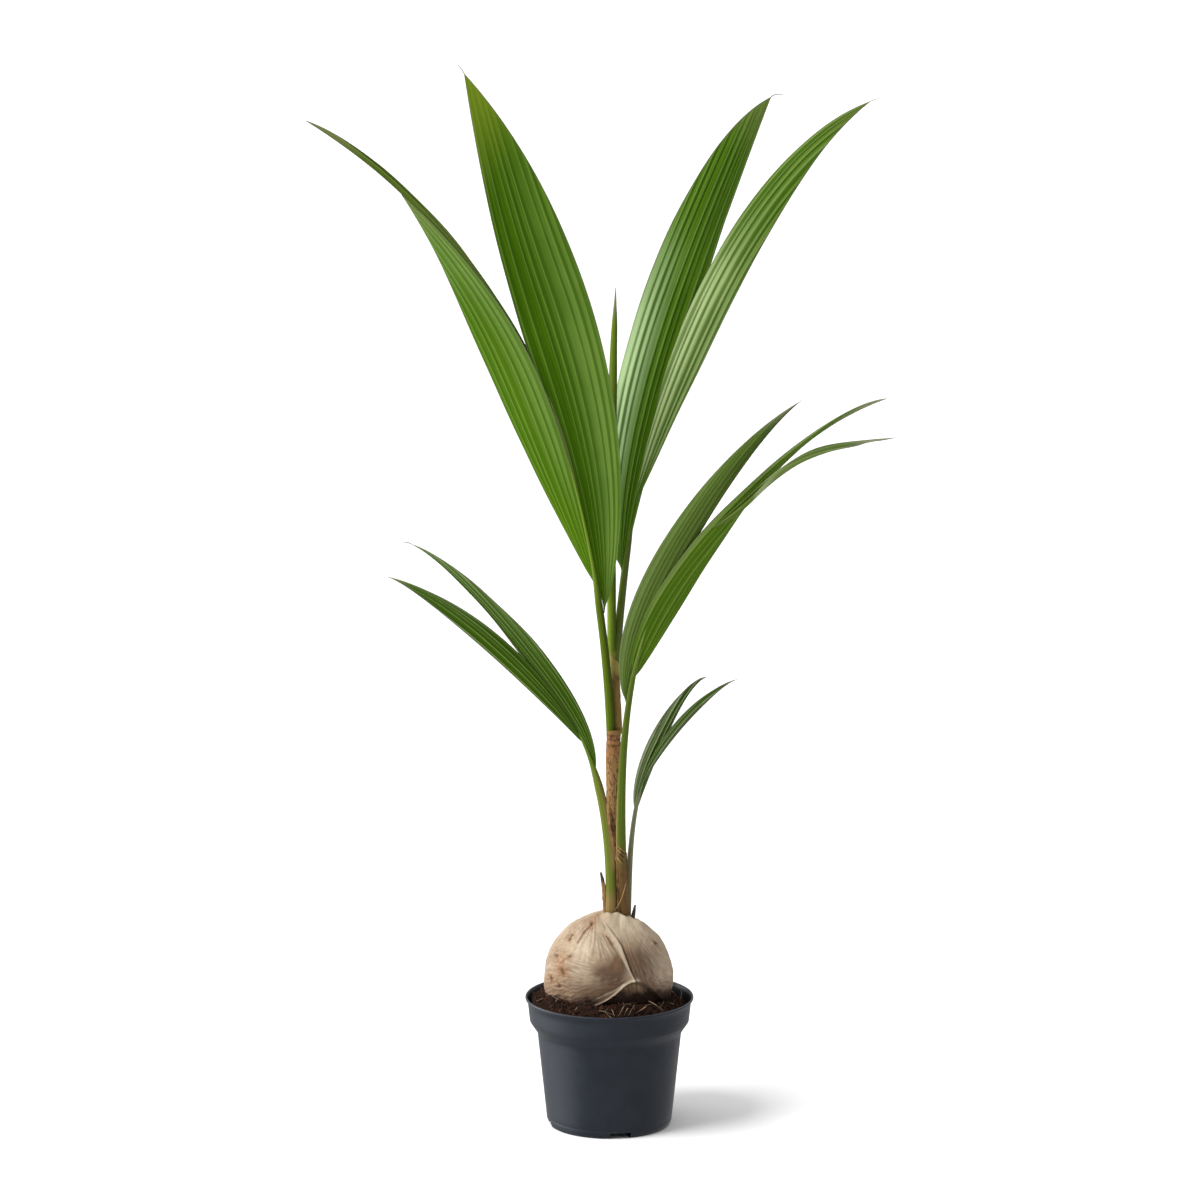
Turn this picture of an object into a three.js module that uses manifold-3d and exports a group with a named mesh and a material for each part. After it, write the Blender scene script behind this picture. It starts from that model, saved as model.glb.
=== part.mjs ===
import * as THREE from 'three';
import { mergeVertices } from 'three/addons/utils/BufferGeometryUtils.js';
import Module from 'manifold-3d';

// A young coconut palm that has sprouted from its husk, in a round nursery pot.
// Millimetres. +Z is up, -Y is the front, +X is to the right seen from the front.
// The origin is the centre of the pot's flat underside.

const wasm = await Module();
wasm.setup();

// Clearance between neighbouring pieces
const GAP = 0.3;

// Pot
const POT_HEIGHT = 148;
const RIM_RADIUS = 95;
const LIP_HEIGHT = 2.5;
const LIP_SLOPE = 3;
const COLLAR_TOP_RADIUS = 92.4;
const COLLAR_FOOT_RADIUS = 90;
const COLLAR_FOOT_HEIGHT = 120;
const BODY_TOP_RADIUS = 81.5;
const BODY_TOP_HEIGHT = 107.5;
const BODY_FOOT_RADIUS = 70.6;
const FOOT_RADIUS = 68.6;
const FOOT_BEVEL = 5;
const POT_WALL = 2.2;
const POT_FLOOR = 7;
const POT_SEGMENTS = 60;
const NOTCH_WIDTH = 24;
const NOTCH_HEIGHT = 5.5;
const NOTCH_DEPTH = 4;
const NOTCH_COUNT = 4;
const NOTCH_TURN = 10;

// Soil
const SOIL_EDGE_HEIGHT = 139;
const SOIL_CREST_HEIGHT = 147;
const SOIL_CREST_RADIUS = 66;
const SOIL_SEGMENTS = 40;

// Nut in its husk
const NUT_CENTRE = new THREE.Vector3(-1, 5, 169);
const NUT_RADII = new THREE.Vector3(73, 73, 76);
const NUT_LEAN = 3;
const NUT_ANGULARITY = 0.012;
const NUT_SIDES = 3;
const CREASE_RADIUS = 2.4;
const CREASE_LIFT = 0.8;
const CREASE_MEET = [31, 179];
const CREASE_ENDS = [[-15, 243], [-24, 151], [57, 153]];
const CREASE_STEPS = 5;
const CREASE_SIDES = 8;
const NUT_SEGMENTS = 30;
const NUT_RINGS = 18;

// Limbs
const LIMB_SIDES = 10;
const LIMB_STATIONS = 12;

// Blades: each one is a lobe of a frond, folded into pleats along its length
const BLADE_SLENDERNESS = 95;
const BLADE_STATIONS = 13;
const BLADE_MARGIN = 1.3;
const BLADE_END_WIDTH = 2.4;
const PLEAT_DEPTH = 1.3;
const PLEAT_FULL_WIDTH = 34;

// Share of a blade's thickness at its two ends, and how fast it grows from there along the blade
const BLADE_ROOT_SHARE = 0.3;
const BLADE_ROOT_GROWTH = 8;
const BLADE_TIP_SHARE = 0.1;
const BLADE_TIP_GROWTH = 5;

// A blade keeps its full thickness nearer to its margins the larger this even power is
const BLADE_BODY_POWER = 4;

// The margins meet at both ends of a blade, so its direction across is taken this far inside them
const BLADE_INSET = 0.03;

// Shares of a curve's change of depth at its two inner control points
const FIRST_DEPTH_SHARE = 0.2;
const SECOND_DEPTH_SHARE = 0.6;

// A folded margin recedes backwards and a little down
const FOLD_PITCH = 12;

// A line or margin is a curve that leaves its base and arrives at its tip at angles in degrees from
// straight up, positive to the right: [leave angle, leave reach, arrive angle, arrive reach].
// A limb's radius goes from root to end, later along the limb the larger its hold is.
const SHEATHS = {
  lower: {
    base: [9.6, 2, 240], tip: [5, 0, 456], line: [0, 71, 3, 74],
    root: 11.5, end: 7.4, hold: 1,
  },
  upper: {
    base: [7.8, 1, 452], tip: [5.6, 1, 538], line: [1, 28, -3, 27],
    root: 5, end: 3.4, hold: 1,
  },
  scale_left: {
    base: [-4.5, -9, 240], tip: [-10, -10, 294], line: [-9, 16, -4, 16],
    root: 2.6, end: 0.8, hold: 2,
  },
  scale_right: {
    base: [25, -4, 236], tip: [29, -5, 255], line: [20, 5, 11, 5],
    root: 2.4, end: 0.8, hold: 2,
  },
};

const SPEAR = {
  base: [5.3, 4, 531], tip: [5.9, 12, 950], line: [-2, 151, 1, 143],
  root: 5, end: 0.6, hold: 8,
};

// A frond has one rib, which is its stalk and carries on between its lobes. Each lobe has a left and a right
// margin, and fold is how far each of the two recedes halfway along.
const FRONDS = [
  {
    name: 'lower_left',
    colour: 0x46701f,
    rib: {
      base: [-0.5, -5, 240], tip: [-84, 62, 517], line: [4, 130, -42, 86],
      root: 5.6, end: 1.2, hold: 1,
    },
    lobes: {
      lower: {
        base: [-29, 34, 432], tip: [-252, 121, 606],
        left: [-47, 96, -68, 73], right: [-24, 110, -81, 90], fold: [-10, 0], pleats: 3,
      },
      upper: {
        base: [-15, 29, 403], tip: [-236, 133, 644],
        left: [-25, 85, -75, 75], right: [1, 111, -94, 52], fold: [0, -10], pleats: 4,
      },
    },
  },
  {
    name: 'lower_right',
    colour: 0x4b7030,
    rib: {
      base: [19.8, 1, 238], tip: [66, 49, 441], line: [1, 60, 32, 83],
      root: 4.8, end: 1, hold: 1,
    },
    lobes: {
      outer: {
        base: [33, 25, 371], tip: [145, 72, 498],
        left: [26, 57, 77, 82], right: [10, 20, 76, 47], fold: [0, -7], pleats: 2,
      },
      inner: {
        base: [28, 24, 360], tip: [109, 82, 498],
        left: [-8, 67, 95, 28], right: [32, 49, 69, 35], fold: [-7, 0], pleats: 3,
      },
    },
  },
  {
    name: 'middle_right',
    colour: 0x4a7420,
    rib: {
      base: [12.9, -7, 312], tip: [59, -66, 632], line: [2, 107, 25, 138],
      root: 5.4, end: 1.2, hold: 2,
    },
    lobes: {
      outer: {
        base: [23, -36, 506], tip: [299, -168, 862],
        left: [3, 148, 70, 124], right: [31, 83, 69, 157], fold: [0, 14], pleats: 4,
      },
      tail: {
        base: [112, -90, 704], tip: [307, -200, 825],
        left: [36, 105, 84, 66], right: [53, 83, 80, 112], fold: [0, 0], pleats: 1,
      },
      inner: {
        base: [18, -31, 494], tip: [213, -143, 857],
        left: [-21, 104, 59, 147], right: [13, 144, 47, 94], fold: [12, 0], pleats: 4,
      },
    },
  },
  {
    name: 'upper_left',
    colour: 0x5d9018,
    rib: {
      base: [3, -7, 449], tip: [-65, -54, 836], line: [-3, 139, -18, 126],
      root: 5.8, end: 1.2, hold: 1.4,
    },
    lobes: {
      outer: {
        base: [-12, -20, 618], tip: [-219, -117, 1068],
        left: [-31, 157, -28, 160], right: [-12, 168, -48, 216], fold: [24, 0], pleats: 4,
      },
      tail: {
        base: [-27, -24, 678], tip: [-326, -154, 1162],
        left: [-12, 211, -54, 232], right: [-9, 244, -61, 170], fold: [0, 0], pleats: 1,
      },
      inner: {
        base: [-6, -15, 593], tip: [-163, -147, 1221],
        left: [-17, 209, -10, 204], right: [10, 275, -39, 186], fold: [9, 16], pleats: 5,
      },
    },
  },
  {
    name: 'upper_right',
    colour: 0x4f7f26,
    rib: {
      base: [6.7, 4, 526], tip: [65, 70, 862], line: [4, 98, 22, 94],
      root: 3.8, end: 1.2, hold: 1.4,
    },
    lobes: {
      outer: {
        base: [24, 24, 696], tip: [304, 170, 1145],
        left: [9, 213, 73, 165], right: [29, 158, 58, 159], fold: [0, -14], pleats: 4,
      },
      inner: {
        base: [14, 16, 632], tip: [195, 176, 1148],
        left: [-12, 199, 78, 127], right: [19, 178, 33, 192], fold: [-14, 0], pleats: 5,
      },
    },
  },
];

// Colours and roughness of what isn't a frond
const FINISHES = {
  pot: [0x303236, 0.6],
  nut: [0xc4b093, 0.9],
  soil: [0x352018, 1],
  sheath: [0x8a623c, 0.9],
  rib: [0x6f9430, 0.5],
  spear: [0x55791f, 0.5],
};
const FROND_ROUGHNESS = 0.5;

// Vertices closer than this are one
const MERGE_DISTANCE = 1e-4;

// Geometry with shared vertices and positions only
function bare(geometry) {
  geometry.deleteAttribute('normal');
  geometry.deleteAttribute('uv');
  return mergeVertices(geometry, MERGE_DISTANCE);
}

function solidOf(geometry) {
  const shared = bare(geometry);
  return new wasm.Manifold(new wasm.Mesh({
    numProp: 3,
    vertProperties: new Float32Array(shared.attributes.position.array),
    triVerts: new Uint32Array(shared.index.array),
  }));
}

function geometryOf(solid) {
  const mesh = solid.getMesh();
  const geometry = new THREE.BufferGeometry();
  geometry.setAttribute('position', new THREE.BufferAttribute(mesh.vertProperties, 3));
  geometry.setIndex(new THREE.BufferAttribute(mesh.triVerts, 1));
  const flat = geometry.toNonIndexed();
  flat.computeVertexNormals();
  return flat;
}

// Moves every vertex of a geometry to where place puts it
function bend(geometry, place) {
  const position = geometry.attributes.position;
  const point = new THREE.Vector3();
  for (let i = 0; i < position.count; i += 1) {
    point.fromBufferAttribute(position, i);
    const moved = place(point.x, point.y, point.z);
    position.setXYZ(i, moved.x, moved.y, moved.z);
  }
  return geometry;
}

// Unit vector in the front plane at an angle from straight up, positive to the right
function heading(degrees) {
  const angle = THREE.MathUtils.degToRad(degrees);
  return new THREE.Vector3(Math.sin(angle), 0, Math.cos(angle));
}

function curve(basePoint, tipPoint, [leave, leaveReach, arrive, arriveReach]) {
  const base = new THREE.Vector3(...basePoint);
  const tip = new THREE.Vector3(...tipPoint);
  const first = base.clone().addScaledVector(heading(leave), leaveReach);
  const second = tip.clone().addScaledVector(heading(arrive), -arriveReach);
  first.y = THREE.MathUtils.lerp(base.y, tip.y, FIRST_DEPTH_SHARE);
  second.y = THREE.MathUtils.lerp(base.y, tip.y, SECOND_DEPTH_SHARE);
  return new THREE.CubicBezierCurve3(base, first, second, tip);
}

// A tapering round limb along its line, grown all over by grow
function limb(size, grow) {
  const path = curve(size.base, size.tip, size.line);
  const backward = new THREE.Vector3(0, 1, 0);
  return solidOf(bend(bare(new THREE.CylinderGeometry(1, 1, 1, LIMB_SIDES, LIMB_STATIONS)), (x, y, z) => {
    const t = y + 0.5;
    const radius = size.end + (size.root - size.end) * (1 - t ** size.hold) + grow;
    const along = path.getTangent(t);
    const across = backward.clone().cross(along).normalize();
    const outward = across.clone().cross(along);
    return path.getPoint(t)
      .addScaledVector(along, 2 * grow * y)
      .addScaledVector(across, radius * x)
      .addScaledVector(outward, radius * z);
  }));
}

// A thin pleated blade between its two margins, grown all over by grow
function blade(size, grow) {
  const margins = [curve(size.base, size.tip, size.left), curve(size.base, size.tip, size.right)];
  const recede = new THREE.Vector3(0, 1, 0).applyAxisAngle(
    new THREE.Vector3(1, 0, 0),
    -THREE.MathUtils.degToRad(FOLD_PITCH),
  );
  const fullThickness = margins[0].v0.distanceTo(margins[0].v3) / BLADE_SLENDERNESS;
  const columns = 2 * size.pleats;
  const marginPoint = (side, t) => margins[side].getPoint(t)
    .addScaledVector(recede, size.fold[side] * Math.sin(Math.PI * t));

  const sheet = bare(new THREE.BoxGeometry(1, 1, 1, columns, BLADE_STATIONS, 1));
  return solidOf(bend(sheet, (x, y, z) => {
    const s = x + 0.5;
    const t = y + 0.5;
    const inside = THREE.MathUtils.clamp(t, BLADE_INSET, 1 - BLADE_INSET);
    const across = marginPoint(1, inside).sub(marginPoint(0, inside));
    const width = across.length();
    across.normalize();
    const along = margins[0].getTangent(t).add(margins[1].getTangent(t)).normalize();
    const normal = across.clone().cross(along).normalize();
    const endTaper = Math.min(
      1,
      BLADE_ROOT_SHARE + BLADE_ROOT_GROWTH * t,
      BLADE_TIP_SHARE + BLADE_TIP_GROWTH * (1 - t),
    );
    const bodyShare = (1 - (2 * s - 1) ** BLADE_BODY_POWER) * endTaper;
    const thickness = BLADE_MARGIN + (fullThickness - BLADE_MARGIN) * bodyShare + 2 * grow;
    const ridge = Math.round(s * columns) % 2 === 1 ? 1 : -1;
    const pleat = ridge * PLEAT_DEPTH * Math.min(1, width / PLEAT_FULL_WIDTH) * endTaper;
    return marginPoint(0, t).lerp(marginPoint(1, t), s)
      .addScaledVector(across, (BLADE_END_WIDTH + 2 * grow) * x)
      .addScaledVector(along, 2 * grow * y)
      .addScaledVector(normal, pleat + thickness * z);
  }));
}

// A solid of revolution about +Z from points of radius and height
function turned(points, segments) {
  const profile = points.map(([radius, height]) => new THREE.Vector2(radius, height));
  return solidOf(new THREE.LatheGeometry(profile, segments).rotateX(Math.PI / 2));
}

function pot() {
  const shell = turned([
    [0, 0],
    [FOOT_RADIUS, 0],
    [BODY_FOOT_RADIUS, FOOT_BEVEL],
    [BODY_TOP_RADIUS, BODY_TOP_HEIGHT],
    [COLLAR_FOOT_RADIUS, COLLAR_FOOT_HEIGHT],
    [COLLAR_TOP_RADIUS, POT_HEIGHT - LIP_HEIGHT - LIP_SLOPE],
    [RIM_RADIUS, POT_HEIGHT - LIP_HEIGHT],
    [RIM_RADIUS, POT_HEIGHT],
    [COLLAR_TOP_RADIUS - POT_WALL, POT_HEIGHT],
    [COLLAR_FOOT_RADIUS - POT_WALL, COLLAR_FOOT_HEIGHT],
    [BODY_TOP_RADIUS - POT_WALL, BODY_TOP_HEIGHT],
    [BODY_FOOT_RADIUS - POT_WALL, POT_FLOOR],
    [0, POT_FLOOR],
  ], POT_SEGMENTS);
  let drained = shell;
  for (let i = 0; i < NOTCH_COUNT; i += 1) {
    const notch = new THREE.BoxGeometry(NOTCH_WIDTH, 2 * NOTCH_DEPTH, 2 * NOTCH_HEIGHT);
    notch.translate(0, -BODY_FOOT_RADIUS, 0);
    notch.rotateZ(THREE.MathUtils.degToRad(NOTCH_TURN) + (i * 2 * Math.PI) / NOTCH_COUNT);
    drained = drained.subtract(solidOf(notch));
  }
  return drained;
}

function soil() {
  const clear = POT_WALL + GAP;
  return turned([
    [0, POT_FLOOR + GAP],
    [BODY_FOOT_RADIUS - clear, POT_FLOOR + GAP],
    [BODY_TOP_RADIUS - clear, BODY_TOP_HEIGHT + GAP],
    [COLLAR_FOOT_RADIUS - clear, COLLAR_FOOT_HEIGHT + GAP],
    [COLLAR_FOOT_RADIUS - clear, SOIL_EDGE_HEIGHT],
    [SOIL_CREST_RADIUS, SOIL_CREST_HEIGHT],
    [0, SOIL_CREST_HEIGHT],
  ], SOIL_SEGMENTS);
}

// How far the nut leans to the left at a share of its height above its centre
function lean(up) {
  return NUT_LEAN * Math.max(0, up) ** 2;
}

// The husk's surface towards the front at a given x and z
function huskFront(x, z) {
  const up = (z - NUT_CENTRE.z) / NUT_RADII.z;
  const across = (x - NUT_CENTRE.x + lean(up)) / NUT_RADII.x;
  const forward = NUT_RADII.y * Math.sqrt(Math.max(0, 1 - across ** 2 - up ** 2));
  return new THREE.Vector3(x, NUT_CENTRE.y - forward - CREASE_LIFT, z);
}

function crease(end) {
  const points = [];
  for (let i = 0; i <= CREASE_STEPS; i += 1) {
    const share = i / CREASE_STEPS;
    points.push(huskFront(
      THREE.MathUtils.lerp(CREASE_MEET[0], end[0], share),
      THREE.MathUtils.lerp(CREASE_MEET[1], end[1], share),
    ));
  }
  const section = new THREE.Shape().absarc(0, 0, CREASE_RADIUS, 0, 2 * Math.PI);
  return solidOf(new THREE.ExtrudeGeometry(section, {
    extrudePath: new THREE.CatmullRomCurve3(points),
    steps: 2 * CREASE_STEPS,
    curveSegments: CREASE_SIDES / 2,
  }));
}

function nut(grow) {
  const ball = bend(bare(new THREE.SphereGeometry(1, NUT_SEGMENTS, NUT_RINGS)), (x, y, z) => {
    const turn = Math.atan2(z, x);
    const angular = 1 + NUT_ANGULARITY * Math.cos(NUT_SIDES * turn) * (1 - y * y);
    return new THREE.Vector3(
      NUT_CENTRE.x + (NUT_RADII.x + grow) * angular * x - lean(y),
      NUT_CENTRE.y - (NUT_RADII.y + grow) * angular * z,
      NUT_CENTRE.z + (NUT_RADII.z + grow) * y,
    );
  });
  return solidOf(ball);
}

function creasedNut() {
  return CREASE_ENDS.reduce((husk, end) => husk.subtract(crease(end)), nut(0));
}

const palm = new THREE.Group();
palm.name = 'potted_coconut_palm';
const neighbours = [];

// The largest body of a solid, clear of every neighbour already there
function cleared(solid) {
  const rest = neighbours.reduce((left, neighbour) => left.subtract(neighbour), solid);
  return rest.decompose().sort((a, b) => b.volume() - a.volume())[0];
}

function place(name, solid, [colour, roughness]) {
  const material = new THREE.MeshStandardMaterial({ color: colour, roughness, metalness: 0 });
  const mesh = new THREE.Mesh(geometryOf(solid), material);
  mesh.name = name;
  palm.add(mesh);
}

// Places a piece clear of its neighbours, and keeps the ones after it clear of it
function seat(name, make, size, finish) {
  place(name, cleared(make(size, 0)), finish);
  neighbours.push(make(size, GAP));
}

place('pot', pot(), FINISHES.pot);
place('nut', creasedNut(), FINISHES.nut);
neighbours.push(nut(GAP));
place('soil', cleared(soil()), FINISHES.soil);

for (const [name, size] of Object.entries(SHEATHS)) {
  seat(`sheath_${name}`, limb, size, FINISHES.sheath);
}
for (const frond of FRONDS) {
  seat(`rib_${frond.name}`, limb, frond.rib, FINISHES.rib);
}
seat('spear', limb, SPEAR, FINISHES.spear);
for (const frond of FRONDS) {
  for (const [lobe, size] of Object.entries(frond.lobes)) {
    seat(`frond_${frond.name}_${lobe}`, blade, size, [frond.colour, FROND_ROUGHNESS]);
  }
}

export default palm;
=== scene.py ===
import itertools
import math
from types import SimpleNamespace

import bpy
import numpy as np
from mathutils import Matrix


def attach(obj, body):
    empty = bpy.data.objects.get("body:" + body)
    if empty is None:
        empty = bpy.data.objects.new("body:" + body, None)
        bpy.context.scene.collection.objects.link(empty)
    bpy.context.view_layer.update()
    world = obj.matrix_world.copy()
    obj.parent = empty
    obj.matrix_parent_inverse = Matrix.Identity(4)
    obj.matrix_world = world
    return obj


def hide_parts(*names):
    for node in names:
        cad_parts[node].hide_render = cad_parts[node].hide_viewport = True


# A young coconut palm that has sprouted from its husk, in a round nursery pot.
# Sizes are in millimetres and become metres where a mesh is made. +Z is up, -Y is the front.
# Colours are 0 to 255 a channel.
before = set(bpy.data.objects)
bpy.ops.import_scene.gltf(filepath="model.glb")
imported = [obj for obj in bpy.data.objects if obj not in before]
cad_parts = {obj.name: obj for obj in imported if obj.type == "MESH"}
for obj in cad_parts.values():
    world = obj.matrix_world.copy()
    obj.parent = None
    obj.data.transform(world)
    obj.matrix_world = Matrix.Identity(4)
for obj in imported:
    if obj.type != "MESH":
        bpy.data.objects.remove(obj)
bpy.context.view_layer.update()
MM = 0.001

# Camera
CAMERA_PITCH = 11.87
CAMERA_DISTANCE = 7000
CAMERA_TARGET = (-10.64, 0, 604.56)
CAMERA_LENS = 188.385

# Light: the key's height above the floor and its turn to the left, in degrees, and its spread. Each part of
# the sky goes from one strength to another between two values of a direction's axis.
KEY_STRENGTH = 2.85
KEY_SPREAD = 30
KEY_HEIGHT = 48
KEY_SIDE = 62
RIM_LIGHT_POWER = 11
RIM_LIGHT_SIZE = (1.4, 0.9)
RIM_LIGHT_PLACE = (-1.6, 0.5, 0.35)
RIM_LIGHT_TARGET = (0, 0, 0.25)
SKY_PARTS = [("Z", 0.05, 0.8, 0.2, 0.7), ("Y", -0.3, 1, 0, 0.35), ("X", -0.7, -1, 0, 1.1)]
FLOOR_HALF = 40
FLOOR_WHITE = 0.93

# Pot
POT_HEIGHT = 148
RIM_RADIUS = 95
LIP_HEIGHT = 2.5
LIP_SLOPE = 3
LIP_ROUND = 1.0
LIP_WIDTH = 2.4
COLLAR_TOP_RADIUS = 92.4
COLLAR_FOOT_RADIUS = 90
COLLAR_FOOT_HEIGHT = 120
BODY_TOP_RADIUS = 81.5
BODY_TOP_HEIGHT = 107.5
BODY_FOOT_RADIUS = 70.6
FOOT_RADIUS = 68.6
FOOT_BEVEL = 5
FOOT_RECESS = 0.6
POT_WALL = 2.2
POT_FLOOR = 7
POT_COLUMNS = 288
POT_STEP = 6
POT_CRISP = 38
NOTCH_WIDTH = 24
NOTCH_HEIGHT = 6.4
NOTCH_DEPTH = 24
NOTCH_EDGE = 0.04
NOTCH_COUNT = 4
NOTCH_TURN = 10
RING_HEIGHT = 9
RING_DEPTH = 0.35
AXIS_RADIUS = 0.5

# Soil
SOIL_EDGE_HEIGHT = 141
SOIL_CREST_HEIGHT = 152
SOIL_CREST_RADIUS = 67
SOIL_COVERED_RADII = (56, 20)
SOIL_NUT_RADIUS = 62
SOIL_TILT = 0.05
SOIL_GAP = 0.4
SOIL_HEAP = 5
SOIL_HEAP_PLACE = 22
SOIL_HEAP_WIDTH = 30
SOIL_HEAP_FRONT = (-50, -66)
SOIL_ROUGHNESS = 1.1
SOIL_COLUMNS = 420
SOIL_STEP = 0.9
CRUMB_COUNT = 1700
CRUMB_SIZE = 2.2
RED_CRUMB_SIZE = 1.6
FIBRE_COUNT = 44
FIBRE_ROWS = 10
FIBRE_LENGTHS = (5, 18)
FIBRE_RADII = (0.18, 0.36)
FIBRE_RISES = (-0.1, 0.35)
FIBRE_BOWS = (-0.25, 0.25)
FIBRE_CLEARANCE = 1.2
STRAND_ROWS = 16
STRAND_COLUMNS = 6
STRAND_TAPER = 0.6
NOT_ALONG_A_STRAND = (0.31, 0.17, 0.93)

# Strands that stick out of the soil, each as four control points
SOIL_STRANDS = [
    [(16, -72, 155.5), (14.6, -76, 154), (12.4, -79, 150.5), (9.6, -81, 146.5)],
    [(27.6, -70, 156), (26, -74, 154.6), (23.6, -78, 151), (21, -80, 146.5)],
    [(20.6, -74, 153.6), (18.4, -77, 152), (17.2, -79, 149.5), (16.4, -80.5, 146.5)],
    [(44, -60, 158), (49, -64, 157), (55, -66, 153.5), (60.5, -67, 148.5)],
    [(-12, -77, 151.6), (-7, -78.4, 151.8), (0, -80, 150.2), (6, -81.4, 147.4)],
    [(42, -68, 154.6), (38, -72, 153.2), (34, -75, 151.2), (29, -77.5, 148.6)],
    [(2, -76, 152.6), (4, -78, 151.4), (5, -80, 149), (5.2, -82, 146.4)],
    [(81, 14, 150), (82, 8, 148.5), (81, 0, 145.5), (79.5, -6, 142)],
    [(-70, -40, 146), (-66, -44, 148.5), (-60, -49, 149), (-55, -53, 147)],
]
SOIL_STRAND_RADIUS = 0.5

# Nut in its husk. Its rim is the swelling round the feet of the stems.
NUT_CENTRE = np.array([-1.0, 5.0, 169.0])
NUT_RADII = np.array([72.6, 72.6, 74.0])
NUT_LEAN = 1.5
NUT_SHOULDER = (-0.78, 0, 0.62)
NUT_SHOULDER_DEPTH = 2.4
NUT_ANGULARITY = 0.012
NUT_SIDES = 3
NUT_RIM_HEIGHT = 5.2
NUT_RIM_FRONT = 1.05
NUT_RIM_REACH = 2.5
NUT_RIM_WIDTH = 8
NUT_COLUMNS = 400
NUT_ROWS = 226
NUT_CROWDING = 0.42
NUT_POLE_GAP = 0.004
NUT_FIBRES = 16
NUT_FIBRE_STEPS = 2.2
FEET_TOP = 260

# Marks on the husk, seen from the front: millimetres to the right of the nut's centre and above it.
# The husk has split into three flaps along a Y. Each arm starts where the three meet.
SPLIT_MEET = (31.7, -6.1)
SPLIT_UP = [
    SPLIT_MEET, (29, -0.1), (25.7, 6.6), (22.4, 15.9), (19, 25.2), (15.7, 34.6), (10.4, 43.2), (3.7, 51.9),
    (-2.9, 57.9), (-10.3, 63.2),
]
STRIP_EDGE = [(27, -3), (22.4, 6.6), (17, 15.9), (10.4, 26.6), (3.7, 35.9), (-0.3, 42.6), (-3.6, 47.9)]
SPLIT_LEFT = [
    SPLIT_MEET, (25, -7.4), (18.5, -11.2), (13.4, -15.8), (7, -21.4), (0.6, -26), (-10.2, -31.8), (-22, -36),
]
SECOND_LIP = [(18, -8.8), (12, -13), (6, -16.6), (-4, -20.8), (-14.7, -26), (-28, -31)]
SPLIT_RIGHT = [SPLIT_MEET, (39, -8.8), (46.4, -13.4), (53, -18.8), (58.4, -25.4), (62, -32)]
CRACKS = [
    [(-34.5, 38), (-31, 44), (-26.9, 50.6), (-22, 54.5), (-18, 58.5)],
    [(-44.5, 40.5), (-42.5, 44.5), (-40, 47)],
    [(-1.5, 45), (1.5, 41), (4.5, 35)],
    [(-63.8, 0.5), (-63.2, -5.5)],
    [(-51.5, 9), (-50.4, 5), (-49.5, 2.5)],
]
SPECKS = [
    (-43.6, 42.6), (-57.6, 23.2), (-42.9, 21.9), (-50.9, 6.6), (-49.5, 3.2), (-63.6, -2.1), (-55.6, -10.8),
    (12.4, 66.6), (53, 37.2), (-19, 57.5),
]

# Centres of the husk's folds, from which they spread: (place, degrees between folds, length)
MEET_FAN = (SPLIT_MEET, 2.4, 30)
TOP_FAN = ((4, 84), 1.5, 40)
LEFT_FAN = ((-14, 70), 6, 26)

# Patches of colour on the husk: (amount, place, width, height). STAINS are stains, STRIP_SHADES, SHADES and
# RIGHT_SHADES are painted shade and LIGHTS are painted light.
STAINS = [(0.75, (-52, 18), 9, 22), (1, (-22, 67), 16, 8), (0.35, (24, 30), 12, 16), (0.35, (-34, 44), 9, 10)]
STRIP_SHADES = [(0.95, (4, 2), 18, 18), (0.8, (13, 17), 9, 13)]
SHADES = [(0.5, (-11, 5), 12, 9), (0.2, (-20, 69), 14, 8)]
RIGHT_SHADES = [(0.4, (33, 20), 13, 20)]
LIGHTS = [(0.5, (-30, 34), 16, 15), (0.8, (18, 60), 20, 9)]

# Limbs
LIMB_COLUMNS = 44
LIMB_STEP = 2.2
SHEATH_COLUMNS = 96
SHEATH_STEP = 1.2
LEAST_STEPS = 12

# Lobes of the fronds
LOBE_ROW = 4
LOBE_COLUMN = 0.7
LOBE_INSET = 0.03
LOBE_BASE_WIDTH = 1.0
LOBE_TIP_WIDTH = 1.2
LOBE_OPENING = 0.04
LOBE_THICKNESS = 0.8
LOBE_EDGE_THICKNESS = 0.35
THREAD_WIDTH = 0.8
THREAD_ROWS = 12
PLEAT_ROUNDING = 0.6
PLEAT_FADE = 5
FLUTTER = 1.1
FLUTTER_LENGTH = 120
FIRST_DEPTH_SHARE = 0.2
SECOND_DEPTH_SHARE = 0.6
FOLD_PITCH = 12

# A line or margin leaves its base and arrives at its tip at angles in degrees from straight up, positive to
# the right: (leave angle, leave reach, arrive angle, arrive reach).
# A limb's radius goes from root to end, later along the limb the larger its hold is.
SHEATHS = {
    "lower": dict(base=(9.6, 2, 240), tip=(5.2, 0, 457), line=(0, 71, 3, 74), root=9.4, end=7.7, hold=1),
    "upper": dict(base=(9, 1, 452), tip=(5.2, 1, 538), line=(-1, 28, -3, 27), root=5.2, end=4.8, hold=1),
    "scale_left": dict(
        base=(-4.5, -9, 240), tip=(-10, -10, 294), line=(-1, 20, -16, 18), root=2.6, end=1, hold=4,
    ),
    "scale_right": dict(
        base=(25, -4, 236), tip=(29, -5, 255), line=(20, 5, 11, 5), root=2.4, end=0.8, hold=2,
    ),
}
SPEAR = dict(base=(2.6, 4, 531), tip=(6.8, 12, 955), line=(-0.3, 151, 2.2, 143), root=5, end=0.6, hold=9)

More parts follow.
